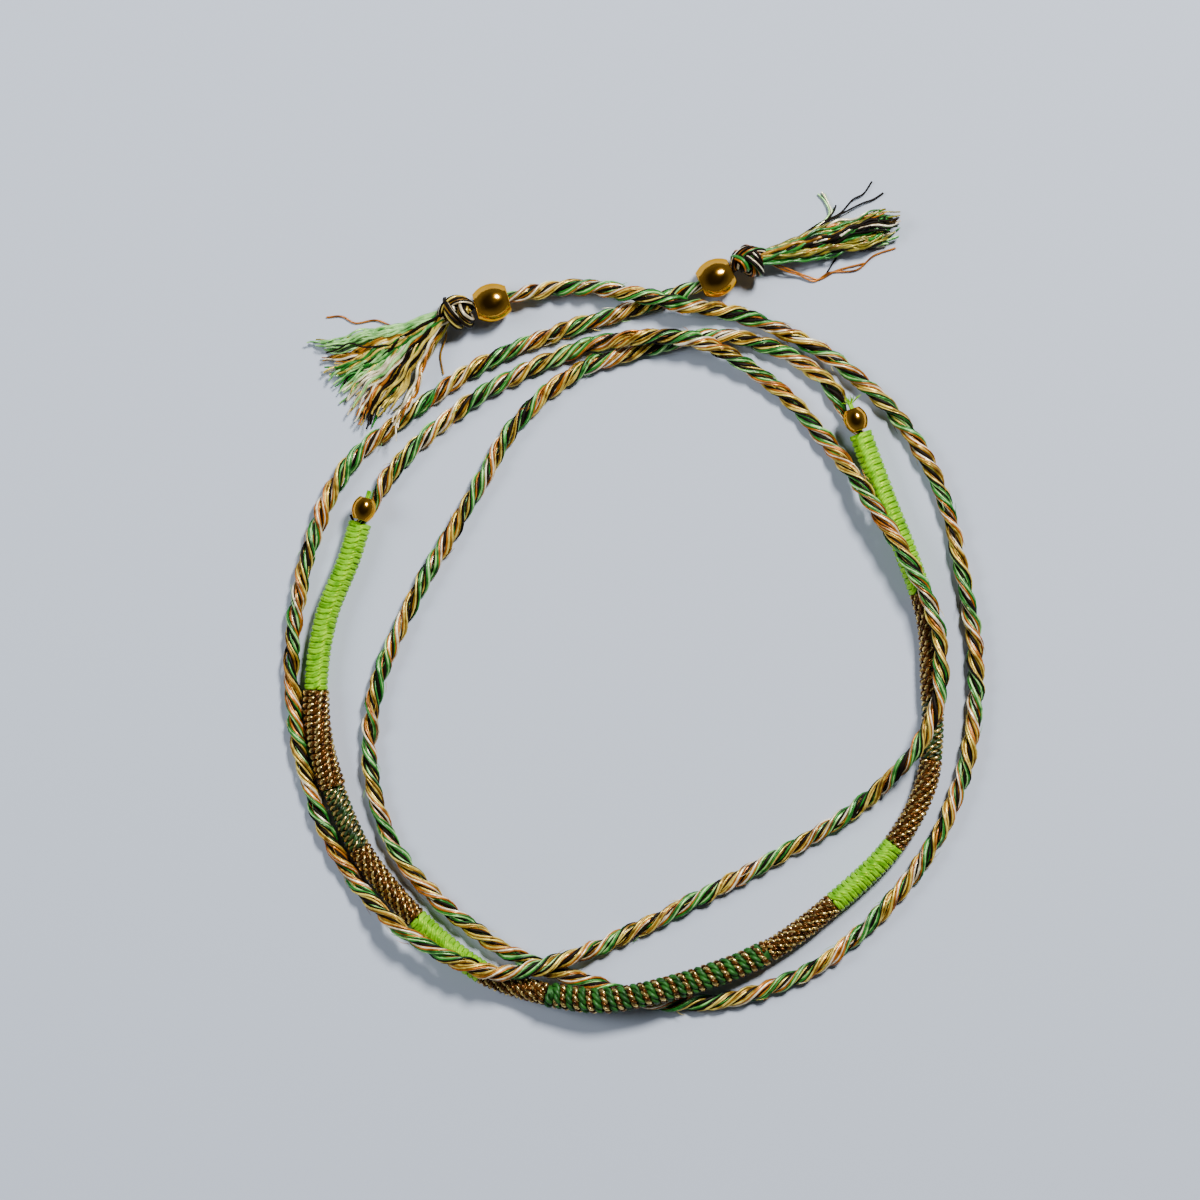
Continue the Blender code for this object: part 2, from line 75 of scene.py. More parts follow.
class Level(Enum):
    """The named heights at which a route lies."""

    TABLE = "table"
    BEAD = "bead"
    DROOP = "droop"
    LOW = "low"
    RISING = "rising"
    OVER_CORD = "over cord"
    BESIDE_WRAP = "beside wrap"
    OVER_WRAP = "over wrap"
    UNDER_BEAD = "under bead"
    INTO_WRAP = "into wrap"
    WRAP = "wrap"
    WRAP_RISING = "wrap rising"
    WRAP_OVER_CORD = "wrap over cord"


class Sides(Enum):
    """How many sides a strand has, as the bevel resolution that gives them."""

    FOUR = 0
    SIX = 1


@dataclass(frozen=True)
class Sizes:
    """The driving sizes of the bracelet."""

    cord: float = 1.6 * MM
    cord_in_bead: float = 1.2 * MM
    cord_at_wrap: float = 0.9 * MM
    bead_taper: float = 2.6 * MM
    wrap_taper: float = 3.0 * MM
    gathered: float = 2.2 * MM
    crossing_gap: float = 0.12 * MM
    mouth_drop: float = 0.12 * MM
    large_bead: float = 4.0 * MM
    large_bead_length: float = 3.6 * MM
    large_bead_end: float = 2.6 * MM
    large_bore: float = 1.5 * MM
    small_bead: float = 2.5 * MM
    small_bead_length: float = 2.4 * MM
    small_bead_end: float = 1.5 * MM
    small_bore: float = 1.0 * MM
    neon: float = 2.5 * MM
    gold: float = 2.45 * MM
    thick_gold: float = 2.8 * MM
    dark: float = 2.4 * MM
    green: float = 2.7 * MM


SIZES = Sizes()
CORD_REST = SIZES.cord / 2
CORD_OVER_CORD = CORD_REST + SIZES.cord + SIZES.crossing_gap
CORD_OVER_WRAP = SIZES.neon + CORD_REST + SIZES.crossing_gap
WRAP_OVER_CORD = SIZES.cord + SIZES.thick_gold / 2 + SIZES.crossing_gap

HEIGHTS = {
    Level.TABLE: CORD_REST,
    Level.BEAD: SIZES.large_bead / 2,
    Level.DROOP: (SIZES.large_bead / 2 + CORD_REST) / 2,
    Level.LOW: 2 * CORD_REST,
    Level.RISING: 0.25 * CORD_REST + 0.75 * CORD_OVER_CORD,
    Level.OVER_CORD: CORD_OVER_CORD,
    Level.BESIDE_WRAP: 0.15 * CORD_REST + 0.85 * CORD_OVER_WRAP,
    Level.OVER_WRAP: CORD_OVER_WRAP,
    Level.UNDER_BEAD: SIZES.cord_at_wrap / 2,
    Level.INTO_WRAP: SIZES.neon / 2 - SIZES.mouth_drop,
    Level.WRAP: SIZES.thick_gold / 2,
    Level.WRAP_RISING: (SIZES.thick_gold / 2 + WRAP_OVER_CORD) / 2,
    Level.WRAP_OVER_CORD: WRAP_OVER_CORD,
}

# Routes in millimetres, seen from above: the solid cords and bands lie on the same points
CORD_ROUTE_LEFT_BEAD = (
    (-15.5, 31.6, Level.BEAD), (-11.8, 32.6, Level.BEAD), (-7.9, 33.5, Level.DROOP),
    (-3.5, 33.7, Level.LOW), (1.8, 32.8, Level.OVER_CORD), (6.0, 31.9, Level.OVER_CORD),
    (12.3, 30.8, Level.TABLE), (20.7, 27.1, Level.TABLE), (26.5, 22.5, Level.TABLE),
    (30.5, 18.0, Level.TABLE), (33.6, 11.7, Level.TABLE), (35.7, 3.5, Level.TABLE),
    (37.1, -6.0, Level.TABLE), (36.4, -14.9, Level.TABLE), (33.4, -23.4, Level.TABLE),
    (28.1, -30.9, Level.TABLE), (21.3, -37.0, Level.TABLE), (13.4, -40.6, Level.TABLE),
    (6.0, -41.6, Level.TABLE), (1.8, -41.1, Level.TABLE), (-2.4, -39.7, Level.TABLE),
    (-7.5, -38.0, Level.TABLE), (-12.1, -36.1, Level.TABLE), (-18.2, -31.8, Level.TABLE),
    (-23.5, -26.0, Level.TABLE), (-26.3, -18.6, Level.TABLE), (-26.2, -9.7, Level.TABLE),
    (-22.6, -0.2, Level.TABLE), (-18.6, 7.0, Level.TABLE), (-14.3, 14.3, Level.TABLE),
    (-11.6, 19.0, Level.TABLE), (-7.7, 22.9, Level.TABLE), (-3.5, 25.5, Level.TABLE),
    (2.3, 27.2, Level.TABLE), (7.1, 28.4, Level.TABLE), (11.3, 28.6, Level.TABLE),
    (17.6, 26.5, Level.TABLE), (22.0, 23.1, Level.TABLE), (23.6, 19.7, Level.UNDER_BEAD),
    (24.9, 18.4, Level.INTO_WRAP),
)
CORD_ROUTE_RIGHT_BEAD = (
    (-27.6, 9.0, Level.INTO_WRAP), (-26.5, 10.1, Level.UNDER_BEAD), (-25.2, 13.1, Level.TABLE),
    (-18.2, 20.2, Level.TABLE), (-12.9, 23.6, Level.TABLE), (-7.2, 26.3, Level.TABLE),
    (-1.9, 28.0, Level.LOW), (2.3, 28.4, Level.OVER_CORD), (6.2, 28.4, Level.OVER_CORD),
    (10.2, 27.1, Level.RISING), (16.0, 23.3, Level.TABLE), (21.3, 17.7, Level.TABLE),
    (25.8, 11.4, Level.BESIDE_WRAP), (29.7, 5.2, Level.OVER_WRAP), (32.3, -0.1, Level.OVER_WRAP),
    (33.3, -5.7, Level.OVER_WRAP), (32.6, -10.9, Level.OVER_WRAP),
    (30.4, -15.1, Level.BESIDE_WRAP), (24.9, -20.7, Level.TABLE), (16.5, -25.9, Level.TABLE),
    (-1.4, -35.1, Level.TABLE), (-6.1, -36.8, Level.RISING), (-9.8, -37.8, Level.BESIDE_WRAP),
    (-13.5, -38.2, Level.OVER_WRAP), (-17.7, -36.8, Level.OVER_WRAP),
    (-22.9, -33.9, Level.BESIDE_WRAP), (-28.2, -28.6, Level.TABLE), (-31.9, -21.8, Level.TABLE),
    (-34.2, -13.4, Level.TABLE), (-34.8, -4.4, Level.TABLE), (-33.4, 4.4, Level.TABLE),
    (-30.7, 12.1, Level.TABLE), (-27.7, 16.3, Level.TABLE), (-21.9, 20.8, Level.TABLE),
    (-15.1, 25.5, Level.TABLE), (-7.2, 28.9, Level.TABLE), (0.7, 31.3, Level.TABLE),
    (4.7, 32.6, Level.TABLE), (8.3, 34.0, Level.BEAD), (11.4, 35.4, Level.BEAD),
)
WRAP_ROUTE = (
    (-27.6, 9.0, Level.WRAP), (-28.8, 5.1, Level.WRAP), (-31.1, -0.7, Level.WRAP),
    (-32.2, -7.6, Level.WRAP), (-31.8, -13.9, Level.WRAP), (-30.1, -19.7, Level.WRAP),
    (-27.5, -25.5, Level.WRAP), (-23.7, -30.5, Level.WRAP), (-19.3, -34.9, Level.WRAP),
    (-14.5, -38.4, Level.WRAP), (-10.8, -39.8, Level.WRAP), (-7.2, -40.6, Level.WRAP_RISING),
    (-2.0, -41.1, Level.WRAP_OVER_CORD), (2.8, -40.3, Level.WRAP_OVER_CORD),
    (8.1, -38.9, Level.WRAP_RISING), (15.3, -36.0, Level.WRAP), (22.1, -31.0, Level.WRAP),
    (28.4, -24.9, Level.WRAP), (31.8, -18.6, Level.WRAP), (32.5, -13.4, Level.WRAP),
    (32.4, -7.6, Level.WRAP), (32.0, -1.2, Level.WRAP), (30.0, 5.1, Level.WRAP),
    (27.4, 11.7, Level.WRAP), (24.9, 18.4, Level.WRAP),
)


def spline_step(before: Vector, start: Vector, end: Vector, after: Vector, share: float) -> Vector:
    """A point of the smooth curve that leaves start and reaches end.

    Args:
        before: The route's point before start.
        start: Where the stretch begins.
        end: Where the stretch ends.
        after: The route's point after end.
        share: How far along the stretch, from 0 to 1.

    Returns:
        The point, on a spline whose knots are spaced by the square roots of its chords.
    """
    knots = [0.0]
    for a, b in ((before, start), (start, end), (end, after)):
        knots.append(knots[-1] + math.sqrt((b - a).length))
    at = knots[1] + (knots[2] - knots[1]) * share

    def mix(a: Vector, b: Vector, low: float, high: float) -> Vector:
        """The point at the knot value between a and b."""
        return a.lerp(b, (at - low) / (high - low))

    first = mix(before, start, knots[0], knots[1])
    second = mix(start, end, knots[1], knots[2])
    third = mix(end, after, knots[2], knots[3])
    left = mix(first, second, knots[0], knots[2])
    right = mix(second, third, knots[1], knots[3])
    return mix(left, right, knots[1], knots[2])


def smooth_route(route: Sequence[tuple[float, float, Level]], steps: int = 16) -> list[Vector]:
    """The route's dense line: a spline in plan, and eased ramps between its heights.

    Args:
        route: Points in millimetres with the level each lies at.
        steps: How many points each stretch gets.

    Returns:
        The points of the line, in metres.
    """
    plan = [Vector((x * MM, y * MM)) for x, y, _ in route]
    heights = [HEIGHTS[level] for _, _, level in route]
    plan = [2 * plan[0] - plan[1], *plan, 2 * plan[-1] - plan[-2]]
    points = []
    for i in range(len(route) - 1):
        for step in range(steps):
            share = step / steps
            flat = spline_step(*plan[i : i + 4], share)
            ease = (1 - math.cos(math.pi * share)) / 2
            points.append(Vector((*flat, heights[i] + ease * (heights[i + 1] - heights[i]))))
    points.append(Vector((*plan[-2], heights[-1])))
    return points


def eased(share: float) -> float:
    """A smooth step from 0 to 1."""
    share = min(max(share, 0.0), 1.0)
    return share * share * (3 - 2 * share)


def drift(along: float, wave: float, seed: float) -> float:
    """A slow random swing between about -1 and 1: its value this far along."""
    return 2 * noise.noise(Vector((along / wave, seed * SEED_STEP, 0.5)))


def around(side: Vector, up: Vector, angle: float) -> Vector:
    """The direction at this angle from side towards up."""
    return side * math.cos(angle) + up * math.sin(angle)


@dataclass(frozen=True)
class Swing:
    """A slow random change along a strand: its amount, the length of one swing, and which it is."""

    amount: float
    wave: float
    number: int = 0

    def at(self, distance: float, seed: int) -> float:
        """How much it changes this far along."""
        return self.amount * drift(distance, self.wave, seed + self.number)


@dataclass
class Track:
    """A line through space, with a side and an up direction at every place."""

    places: list[Vector] = field(default_factory=list)
    sides: list[Vector] = field(default_factory=list)
    ups: list[Vector] = field(default_factory=list)
    reach: list[float] = field(default_factory=list)

    @classmethod
    def through(cls, points: Sequence[Vector]) -> Track:
        """A track through points that already lie close together.

        Args:
            points: The line's points, in metres.

        Returns:
            The track, whose side directions turn no more than the line does.
        """
        track = cls(places=list(points), reach=[0.0])
        for a, b in zip(points, points[1:]):
            track.reach.append(track.reach[-1] + (b - a).length)
        last = len(points) - 1
        side = Vector()
        for i in range(last + 1):
            heading = (points[min(i + 1, last)] - points[max(i - 1, 0)]).normalized()
            if i == 0:
                side = heading.cross(Vector((0, 0, 1)))
                if side.length <= UPRIGHT:
                    side = heading.cross(Vector((1, 0, 0)))
            side = (side - heading * side.dot(heading)).normalized()
            track.sides.append(side.copy())
            track.ups.append(side.cross(heading).normalized())
        return track

    @property
    def length(self) -> float:
        """The whole length, in metres."""
        return self.reach[-1]

    def at(self, distance: float) -> tuple[Vector, Vector, Vector]:
        """The place, side and up direction this far along, straight on past an end.

        Args:
            distance: How far along, in metres.

        Returns:
            The place, the side direction and the up direction.
        """
        i = min(max(bisect_right(self.reach, distance) - 1, 0), len(self.places) - 2)
        share = (distance - self.reach[i]) / (self.reach[i + 1] - self.reach[i])
        place = self.places[i].lerp(self.places[i + 1], share)
        share = min(max(share, 0.0), 1.0)
        side = self.sides[i].lerp(self.sides[i + 1], share).normalized()
        up = self.ups[i].lerp(self.ups[i + 1], share).normalized()
        return place, side, up

    def heading(self, distance: float) -> Vector:
        """The direction of travel this far along."""
        _, side, up = self.at(distance)
        return up.cross(side).normalized()

    def stations(self, start: float, end: float, spacing: float) -> list[float]:
        """Distances from start to end, at most one spacing apart."""
        count = max(2, math.ceil((end - start) / spacing))
        return [start + (end - start) * i / count for i in range(count + 1)]


def set_inputs(node: bpy.types.Node, values: Values) -> None:
    """Sets the input sockets that the values name or number."""
    for name, value in values.items():
        node.inputs[name].default_value = value


def add_node(
    tree: bpy.types.NodeTree, kind: str, values: Values | None = None, **settings: object
) -> bpy.types.Node:
    """Adds a node to a shader tree.

    Args:
        tree: The tree.
        kind: Blender's name for the kind of node.
        values: What its input sockets are set to.
        settings: The node's own settings, made before its sockets are set.

    Returns:
        The node.
    """
    node = tree.nodes.new(kind)
    for name, setting in settings.items():
        setattr(node, name, setting)
    set_inputs(node, values or {})
    return node


def new_material(name: str, values: Values) -> tuple[bpy.types.Material, bpy.types.Node]:
    """Makes a material with plain values on its shader's own sockets.

    Args:
        name: The material's name.
        values: What the shader's sockets are set to.

    Returns:
        The material and its shader.
    """
    material = bpy.data.materials.new(name)
    material.use_nodes = True
    shader = material.node_tree.nodes["Principled BSDF"]
    set_inputs(shader, values)
    return material, shader


def add_object(name: str, data: bpy.types.ID) -> bpy.types.Object:
    """Adds an object to the scene, at the origin.

    Args:
        name: The object's name.
        data: Its mesh, curve, light or camera.

    Returns:
        The object.
    """
    added = bpy.data.objects.new(name, data)
    bpy.context.scene.collection.objects.link(added)
    return added


class FibreEffect:
    """The shader group that every thread shares: patchy colour, fine fibres and uneven gloss."""

    NAME = "thread_fibres"
    INPUTS = (
        ("Light", "NodeSocketColor"), ("Dark", "NodeSocketColor"),
        ("Patch Scale", "NodeSocketFloat"), ("Fibre Scale", "NodeSocketFloat"),
        ("Gloss Low", "NodeSocketFloat"), ("Gloss High", "NodeSocketFloat"),
    )
    OUTPUTS = (
        ("Colour", "NodeSocketColor"), ("Roughness", "NodeSocketFloat"),
        ("Height", "NodeSocketFloat"),
    )
    FILAMENTS = 9.0
    PATCH_DETAIL = 3.0
    FIBRE_DETAIL = 2.0
    # How much the fibres darken the colour where their bump is low: painted shade.
    FIBRE_SHADE_SHARE = 0.45
    SHADE_RANGE = (0.55, 0.80)
    GLOSS_RANGE = (0.3, 0.7)

    def __init__(self) -> None:
        """Builds the node group."""
        self.tree = bpy.data.node_groups.new(self.NAME, "ShaderNodeTree")
        for in_out, sockets in (("INPUT", self.INPUTS), ("OUTPUT", self.OUTPUTS)):
            for name, kind in sockets:
                self.tree.interface.new_socket(name=name, in_out=in_out, socket_type=kind)
        self.given = add_node(self.tree, "NodeGroupInput")
        self.out = add_node(self.tree, "NodeGroupOutput")
        self.place = add_node(self.tree, "ShaderNodeTexCoord")
        fibre = self.add_fibres()
        self.add_colour(fibre)
        self.add_gloss(fibre)
        self.tree.links.new(fibre.outputs["Fac"], self.out.inputs["Height"])

    def add_fibres(self) -> bpy.types.Node:
        """Adds fine noise that changes quickly round a strand and slowly along it.

        Returns:
            The noise node.
        """
        tree, links = self.tree, self.tree.links
        split = add_node(tree, "ShaderNodeSeparateXYZ")
        links.new(self.place.outputs["UV"], split.inputs["Vector"])
        filament = add_node(tree, "ShaderNodeMath", {1: self.FILAMENTS}, operation="MULTIPLY")
        links.new(split.outputs["Y"], filament.inputs[0])
        across = add_node(tree, "ShaderNodeCombineXYZ")
        links.new(filament.outputs["Value"], across.inputs["X"])
        along = add_node(tree, "ShaderNodeVectorMath", operation="SCALE")
        links.new(self.place.outputs["Object"], along.inputs["Vector"])
        links.new(self.given.outputs["Fibre Scale"], along.inputs["Scale"])
        both = add_node(tree, "ShaderNodeVectorMath", operation="ADD")
        links.new(across.outputs["Vector"], both.inputs[0])
        links.new(along.outputs["Vector"], both.inputs[1])
        fibre = add_node(tree, "ShaderNodeTexNoise", {"Scale": 1.0, "Detail": self.FIBRE_DETAIL})
        links.new(both.outputs["Vector"], fibre.inputs["Vector"])
        return fibre

    def add_colour(self, fibre: bpy.types.Node) -> None:
        """Mixes the two shades: by slow patches, the thread's own uneven tone, and by the fibres,
        which darken it where their bump is low, as painted shade between the filaments.

        Args:
            fibre: The fibres' noise.
        """
        tree, links = self.tree, self.tree.links
        patch = add_node(tree, "ShaderNodeTexNoise", {"Detail": self.PATCH_DETAIL})
        links.new(self.place.outputs["Object"], patch.inputs["Vector"])
        links.new(self.given.outputs["Patch Scale"], patch.inputs["Scale"])
        # The fibre noise is also the bump height, so the colour is darker where the bump is low:
        # painted shade between the filaments.
        shade = add_node(tree, "ShaderNodeMath", {1: self.FIBRE_SHADE_SHARE}, operation="MULTIPLY_ADD")
        links.new(fibre.outputs["Fac"], shade.inputs[0])
        links.new(patch.outputs["Fac"], shade.inputs[2])
        low, high = self.SHADE_RANGE
        ramp = add_node(tree, "ShaderNodeMapRange", {"From Min": low, "From Max": high})
        links.new(shade.outputs["Value"], ramp.inputs["Value"])
        mix = add_node(tree, "ShaderNodeMix", data_type="RGBA")
        links.new(ramp.outputs["Result"], mix.inputs["Factor"])
        links.new(self.given.outputs["Dark"], mix.inputs["A"])
        links.new(self.given.outputs["Light"], mix.inputs["B"])
        links.new(mix.outputs["Result"], self.out.inputs["Colour"])

    def add_gloss(self, fibre: bpy.types.Node) -> None:
        """Spreads the roughness between its two limits, by the fibres.

        Args:
            fibre: The fibres' noise.
        """
        links = self.tree.links
        low, high = self.GLOSS_RANGE
        gloss = add_node(self.tree, "ShaderNodeMapRange", {"From Min": low, "From Max": high})
        links.new(fibre.outputs["Fac"], gloss.inputs["Value"])
        links.new(self.given.outputs["Gloss Low"], gloss.inputs["To Min"])
        links.new(self.given.outputs["Gloss High"], gloss.inputs["To Max"])
        links.new(gloss.outputs["Result"], self.out.inputs["Roughness"])


@dataclass(frozen=True)
class ThreadFinish:
    """One kind of thread: its two shades and how it shines."""

    name: str
    light: Colour
    dark: Colour
    metallic: float = 0.0
    gloss: tuple[float, float] = (0.24, 0.44)
    specular: float = 0.5
    patch: float = 1.2 * MM
    fibre: float = 0.8 * MM
    depth: float = 0.6
    tint: Colour = (1.0, 1.0, 1.0)
    relief: float = 0.05 * MM

    def material(self, effect: FibreEffect) -> bpy.types.Material:
        """The thread's material, made once.

        Args:
            effect: The shared fibre group.

        Returns:
            The material.
        """
        found = bpy.data.materials.get(self.name)
        if found:
            return found
        material, shader = new_material(self.name, {
            "Metallic": self.metallic, "Specular IOR Level": self.specular,
            "Specular Tint": (*self.tint, 1.0),
        })
        tree, links = material.node_tree, material.node_tree.links
        group = add_node(tree, "ShaderNodeGroup", {
            "Light": (*self.light, 1.0), "Dark": (*self.dark, 1.0),
            "Patch Scale": 1 / self.patch, "Fibre Scale": 1 / self.fibre,
            "Gloss Low": self.gloss[0], "Gloss High": self.gloss[1],
        }, node_tree=effect.tree)
        bump = add_node(tree, "ShaderNodeBump", {"Strength": self.depth, "Distance": self.relief})
        links.new(group.outputs["Colour"], shader.inputs["Base Color"])
        links.new(group.outputs["Roughness"], shader.inputs["Roughness"])
        links.new(group.outputs["Height"], bump.inputs["Height"])
        links.new(bump.outputs["Normal"], shader.inputs["Normal"])
        return material


class Thread(Enum):
    """Every thread in the bracelet."""

    GREEN = ThreadFinish("green_silk", (0.020, 0.195, 0.019), (0.004, 0.045, 0.005), 0.2)
    # A paler copy of the green silk; in the cords it also stands for the green threads' sheen:
    # painted highlight.
    MINT_AND_SHEEN = ThreadFinish("mint_silk_and_painted_sheen", (0.36, 0.68, 0.22), (0.05, 0.24, 0.035), 0.2)
    BLACK = ThreadFinish(
        "black_brown_silk", (0.007, 0.004, 0.002), (0.002, 0.001, 0.001), 0.0, (0.45, 0.65), 0.1
    )
    COPPER = ThreadFinish("copper_silk", (0.50, 0.160, 0.009), (0.12, 0.032, 0.002), 0.45)
    GOLD = ThreadFinish("old_gold_silk", (0.38, 0.185, 0.010), (0.11, 0.046, 0.002), 0.5)
    YELLOW = ThreadFinish("pale_gold_silk", (0.92, 0.72, 0.13), (0.30, 0.18, 0.010), 0.5)
    CREAM = ThreadFinish("cream_silk", (0.96, 0.90, 0.66), (0.44, 0.34, 0.17), 0.4)
    OLIVE = ThreadFinish("olive_silk", (0.25, 0.21, 0.018), (0.07, 0.065, 0.005), 0.35)
    NEON = ThreadFinish(
        "neon_cotton", (0.200, 0.50, 0.0), (0.070, 0.27, 0.0), 0.0, (0.28, 0.46), 0.7, 0.8 * MM,
        tint=(1.0, 1.0, 0.0)
    )
    # A darker copy of the neon thread, used for the neon band's sleeve: painted shade between its
    # turns.
    NEON_PAINTED_SHADE = ThreadFinish(
        "neon_cotton_painted_shade", (0.06, 0.24, 0.0), (0.03, 0.12, 0.0), 0.0, (0.6, 0.8), 0.1
    )
    TINSEL = ThreadFinish(
        "gold_tinsel", (1.0, 0.74, 0.25), (0.17, 0.080, 0.010), 0.9, (0.16, 0.34), 0.5, 0.42 * MM,
        0.3 * MM, 0.5
    )
    BROWN_TINSEL = ThreadFinish(
        "brown_tinsel", (0.135, 0.048, 0.007), (0.016, 0.005, 0.001), 0.6, (0.14, 0.3), 0.25,
        0.5 * MM, 0.3 * MM, 0.5
    )
    DARK_WOUND = ThreadFinish(
        "dark_green_thread", (0.020, 0.060, 0.010), (0.004, 0.010, 0.003), 0.1, (0.3, 0.5)
    )
    GREEN_WOUND = ThreadFinish(
        "leaf_green_thread", (0.014, 0.098, 0.010), (0.002, 0.026, 0.002), 0.1, (0.4, 0.6), 0.35
    )


class StrandSet:
    """Gathers thin round strands in one curve object, then makes them one mesh piece."""

    def __init__(self, name: str, effect: FibreEffect, sides: Sides) -> None:
        """Starts an empty set.

        Args:
            name: The finished piece's name.
            effect: The shared fibre group.
            sides: How many sides each strand has.
        """
        self.name = name
        self.effect = effect
        self.curve = bpy.data.curves.new(name + "_strands", "CURVE")
        self.curve.dimensions = "3D"
        self.curve.bevel_depth = MM
        self.curve.bevel_resolution = sides.value
        self.curve.use_fill_caps = True
        self.threads: list[Thread] = []

    def add(self, points: Sequence[Vector], radii: Sequence[float], thread: Thread) -> None:
        """Adds one strand.

        Args:
            points: The strand's line.
            radii: Its radius at each point.
            thread: The thread it is made of.
        """
        if thread not in self.threads:
            self.threads.append(thread)
            self.curve.materials.append(thread.value.material(self.effect))
        spline = self.curve.splines.new("POLY")
        spline.points.add(len(points) - 1)
        for target, place, radius in zip(spline.points, points, radii):
            target.co = (*place, 1.0)
            target.radius = radius / MM
        spline.use_smooth = True
        spline.material_index = self.threads.index(thread)

    def build(self) -> bpy.types.Object:
        """Makes the piece's mesh from the gathered strands.

        Returns:
            The mesh object, at the origin and unturned.
        """
        holder = add_object(self.curve.name, self.curve)
        bpy.context.view_layer.update()
        graph = bpy.context.evaluated_depsgraph_get()
        mesh = bpy.data.meshes.new_from_object(holder.evaluated_get(graph))
        bpy.data.objects.remove(holder)
        mesh.name = self.name
        return add_object(self.name, mesh)


@dataclass(frozen=True)
class CordLay:
    """How the cord is made up: three plies of parallel threads, laid left-handed."""

    threads: tuple[Thread, ...] = (
        Thread.GREEN, Thread.MINT_AND_SHEEN, Thread.GREEN, Thread.BLACK, Thread.YELLOW,
        Thread.GOLD, Thread.YELLOW, Thread.COPPER, Thread.CREAM, Thread.COPPER,
    )
    plies: int = 3
    thread_shift: int = 3
    lay_length: float = 6.9 * MM
    ply_radius: float = 0.40 * MM
    ply_spread: float = 1.10
    ply_turn: Swing = Swing(0.35, 9 * MM)
    ply_swell: Swing = Swing(0.14, 4 * MM, 11)
    ply_roll: Swing = Swing(0.9, 10 * MM, 23)
    thread_radius: float = 0.108 * MM
    thread_roll: Swing = Swing(0.35, 6 * MM, 29)
    thread_reach: Swing = Swing(0.2, 3 * MM, 37)
    thread_plumpness: Swing = Swing(0.3, 4 * MM, 71)
    groove_reach: float = 1.16
    groove_share: float = 0.40
    groove_dip: Swing = Swing(0.16, 4 * MM, 91)
    groove_swell: Swing = Swing(0.5, 3.3 * MM, 97)
    roll_length: float = 24 * MM
    spacing: float = 0.56 * MM
    sides: Sides = Sides.SIX

    def lay(
        self,
        strands: StrandSet,
        track: Track,
        start: float,
        end: float,
        width: Callable[[float], float],
        seed: int,
    ) -> None:
        """Lays the cord's threads along a track.

        Args:
            strands: Where the threads are gathered.
            track: The cord's centreline.
            start: Distance at which the cord begins.
            end: Distance at which it ends.
            width: The cord's width at a distance, as a share of its full width.
            seed: Sets the small swings in its lay.
        """
        stations = track.stations(start, end, self.spacing)
        frames = [track.at(distance) for distance in stations]
        centre = 2 / math.sqrt(3) * self.ply_radius * self.ply_spread
        ring = self.ply_radius - self.thread_radius
        for ply in range(self.plies):
            # Each groove gets a black thread: partly the cord's own black, partly painted shade.
            self.lay_groove(strands, stations, frames, width, seed + ply, ply + 0.5)
            for number in range(len(self.threads)):
                thread = self.threads[(number + self.thread_shift * ply) % len(self.threads)]
                points, radii = [], []
                for distance, (place, side, up) in zip(stations, frames):
                    share = width(distance)
                    turn = self.turn_at(distance, ply)
                    turn += self.ply_turn.at(distance, seed + ply)
                    swell = 1 + self.ply_swell.at(distance, seed + ply)
                    middle = around(side, up, turn) * centre * share * swell
                    place_in_ply = number / len(self.threads) - distance / self.roll_length
                    roll = turn + 2 * math.pi * place_in_ply
                    roll += self.ply_roll.at(distance, seed + ply)
                    roll += self.thread_roll.at(distance, seed + number)
                    out = ring * (1 + self.thread_reach.at(distance, seed + 5 * ply + number))
                    offset = around(side, up, roll) * out * share
                    plump = 1 + self.thread_plumpness.at(distance, seed + 3 * ply + number)
                    radii.append(self.thread_radius * share * plump)
                    points.append(place + middle + offset)
                    points[-1].z = max(points[-1].z, radii[-1])
                strands.add(points, radii, thread)

    def turn_at(self, distance: float, ply: float) -> float:
        """The angle round the cord at which a ply lies, this far along."""
        return 2 * math.pi * (distance / self.lay_length + ply / self.plies)

    def lay_groove(
        self,
        strands: StrandSet,
        stations: Sequence[float],
        frames: Sequence[tuple[Vector, Vector, Vector]],
        width: Callable[[float], float],
        seed: int,
        place_number: float,
    ) -> None:
        """Lays the dark thread that fills the groove between two plies: partly the cord's black
        thread, partly painted shade in the groove.

        Args:
            strands: Where the threads are gathered.
            stations: The distances of the cord's points.
            frames: The place, side and up direction at each of them.
            width: The cord's width at a distance, as a share of its full width.
            seed: Sets the small swings in its thickness.
            place_number: The number of the ply before it, and a half.
        """
        points, radii = [], []
        for distance, (place, side, up) in zip(stations, frames):
            share = width(distance)
            turn = self.turn_at(distance, place_number)
            reach = self.groove_reach * self.ply_radius * share
            reach *= 1 + self.groove_dip.at(distance, seed)
            points.append(place + around(side, up, turn) * reach)
            points[-1].z = max(points[-1].z, self.groove_share * self.ply_radius)
            swell = 1 + self.groove_swell.at(distance, seed)
            radii.append(self.groove_share * self.ply_radius * share * swell)
        # The groove's black thread: real black in the cord, and painted shade where the plies meet.
        strands.add(points, radii, Thread.BLACK)


@dataclass(frozen=True)
class Frays:
    """The broken filaments that stand up along a cord."""

    count: int = 110
    clear_start: float = 4 * MM
    clear_end: float = 6 * MM
    past_side: float = 0.3
    root_share: float = 0.47
    length: tuple[float, float] = (0.5 * MM, 1.5 * MM)
    lift: tuple[float, float] = (0.1 * MM, 0.45 * MM)
    bow: float = 0.7
    lowest: float = 0.03 * MM
    radii: tuple[float, float, float] = (0.032 * MM, 0.028 * MM, 0.014 * MM)


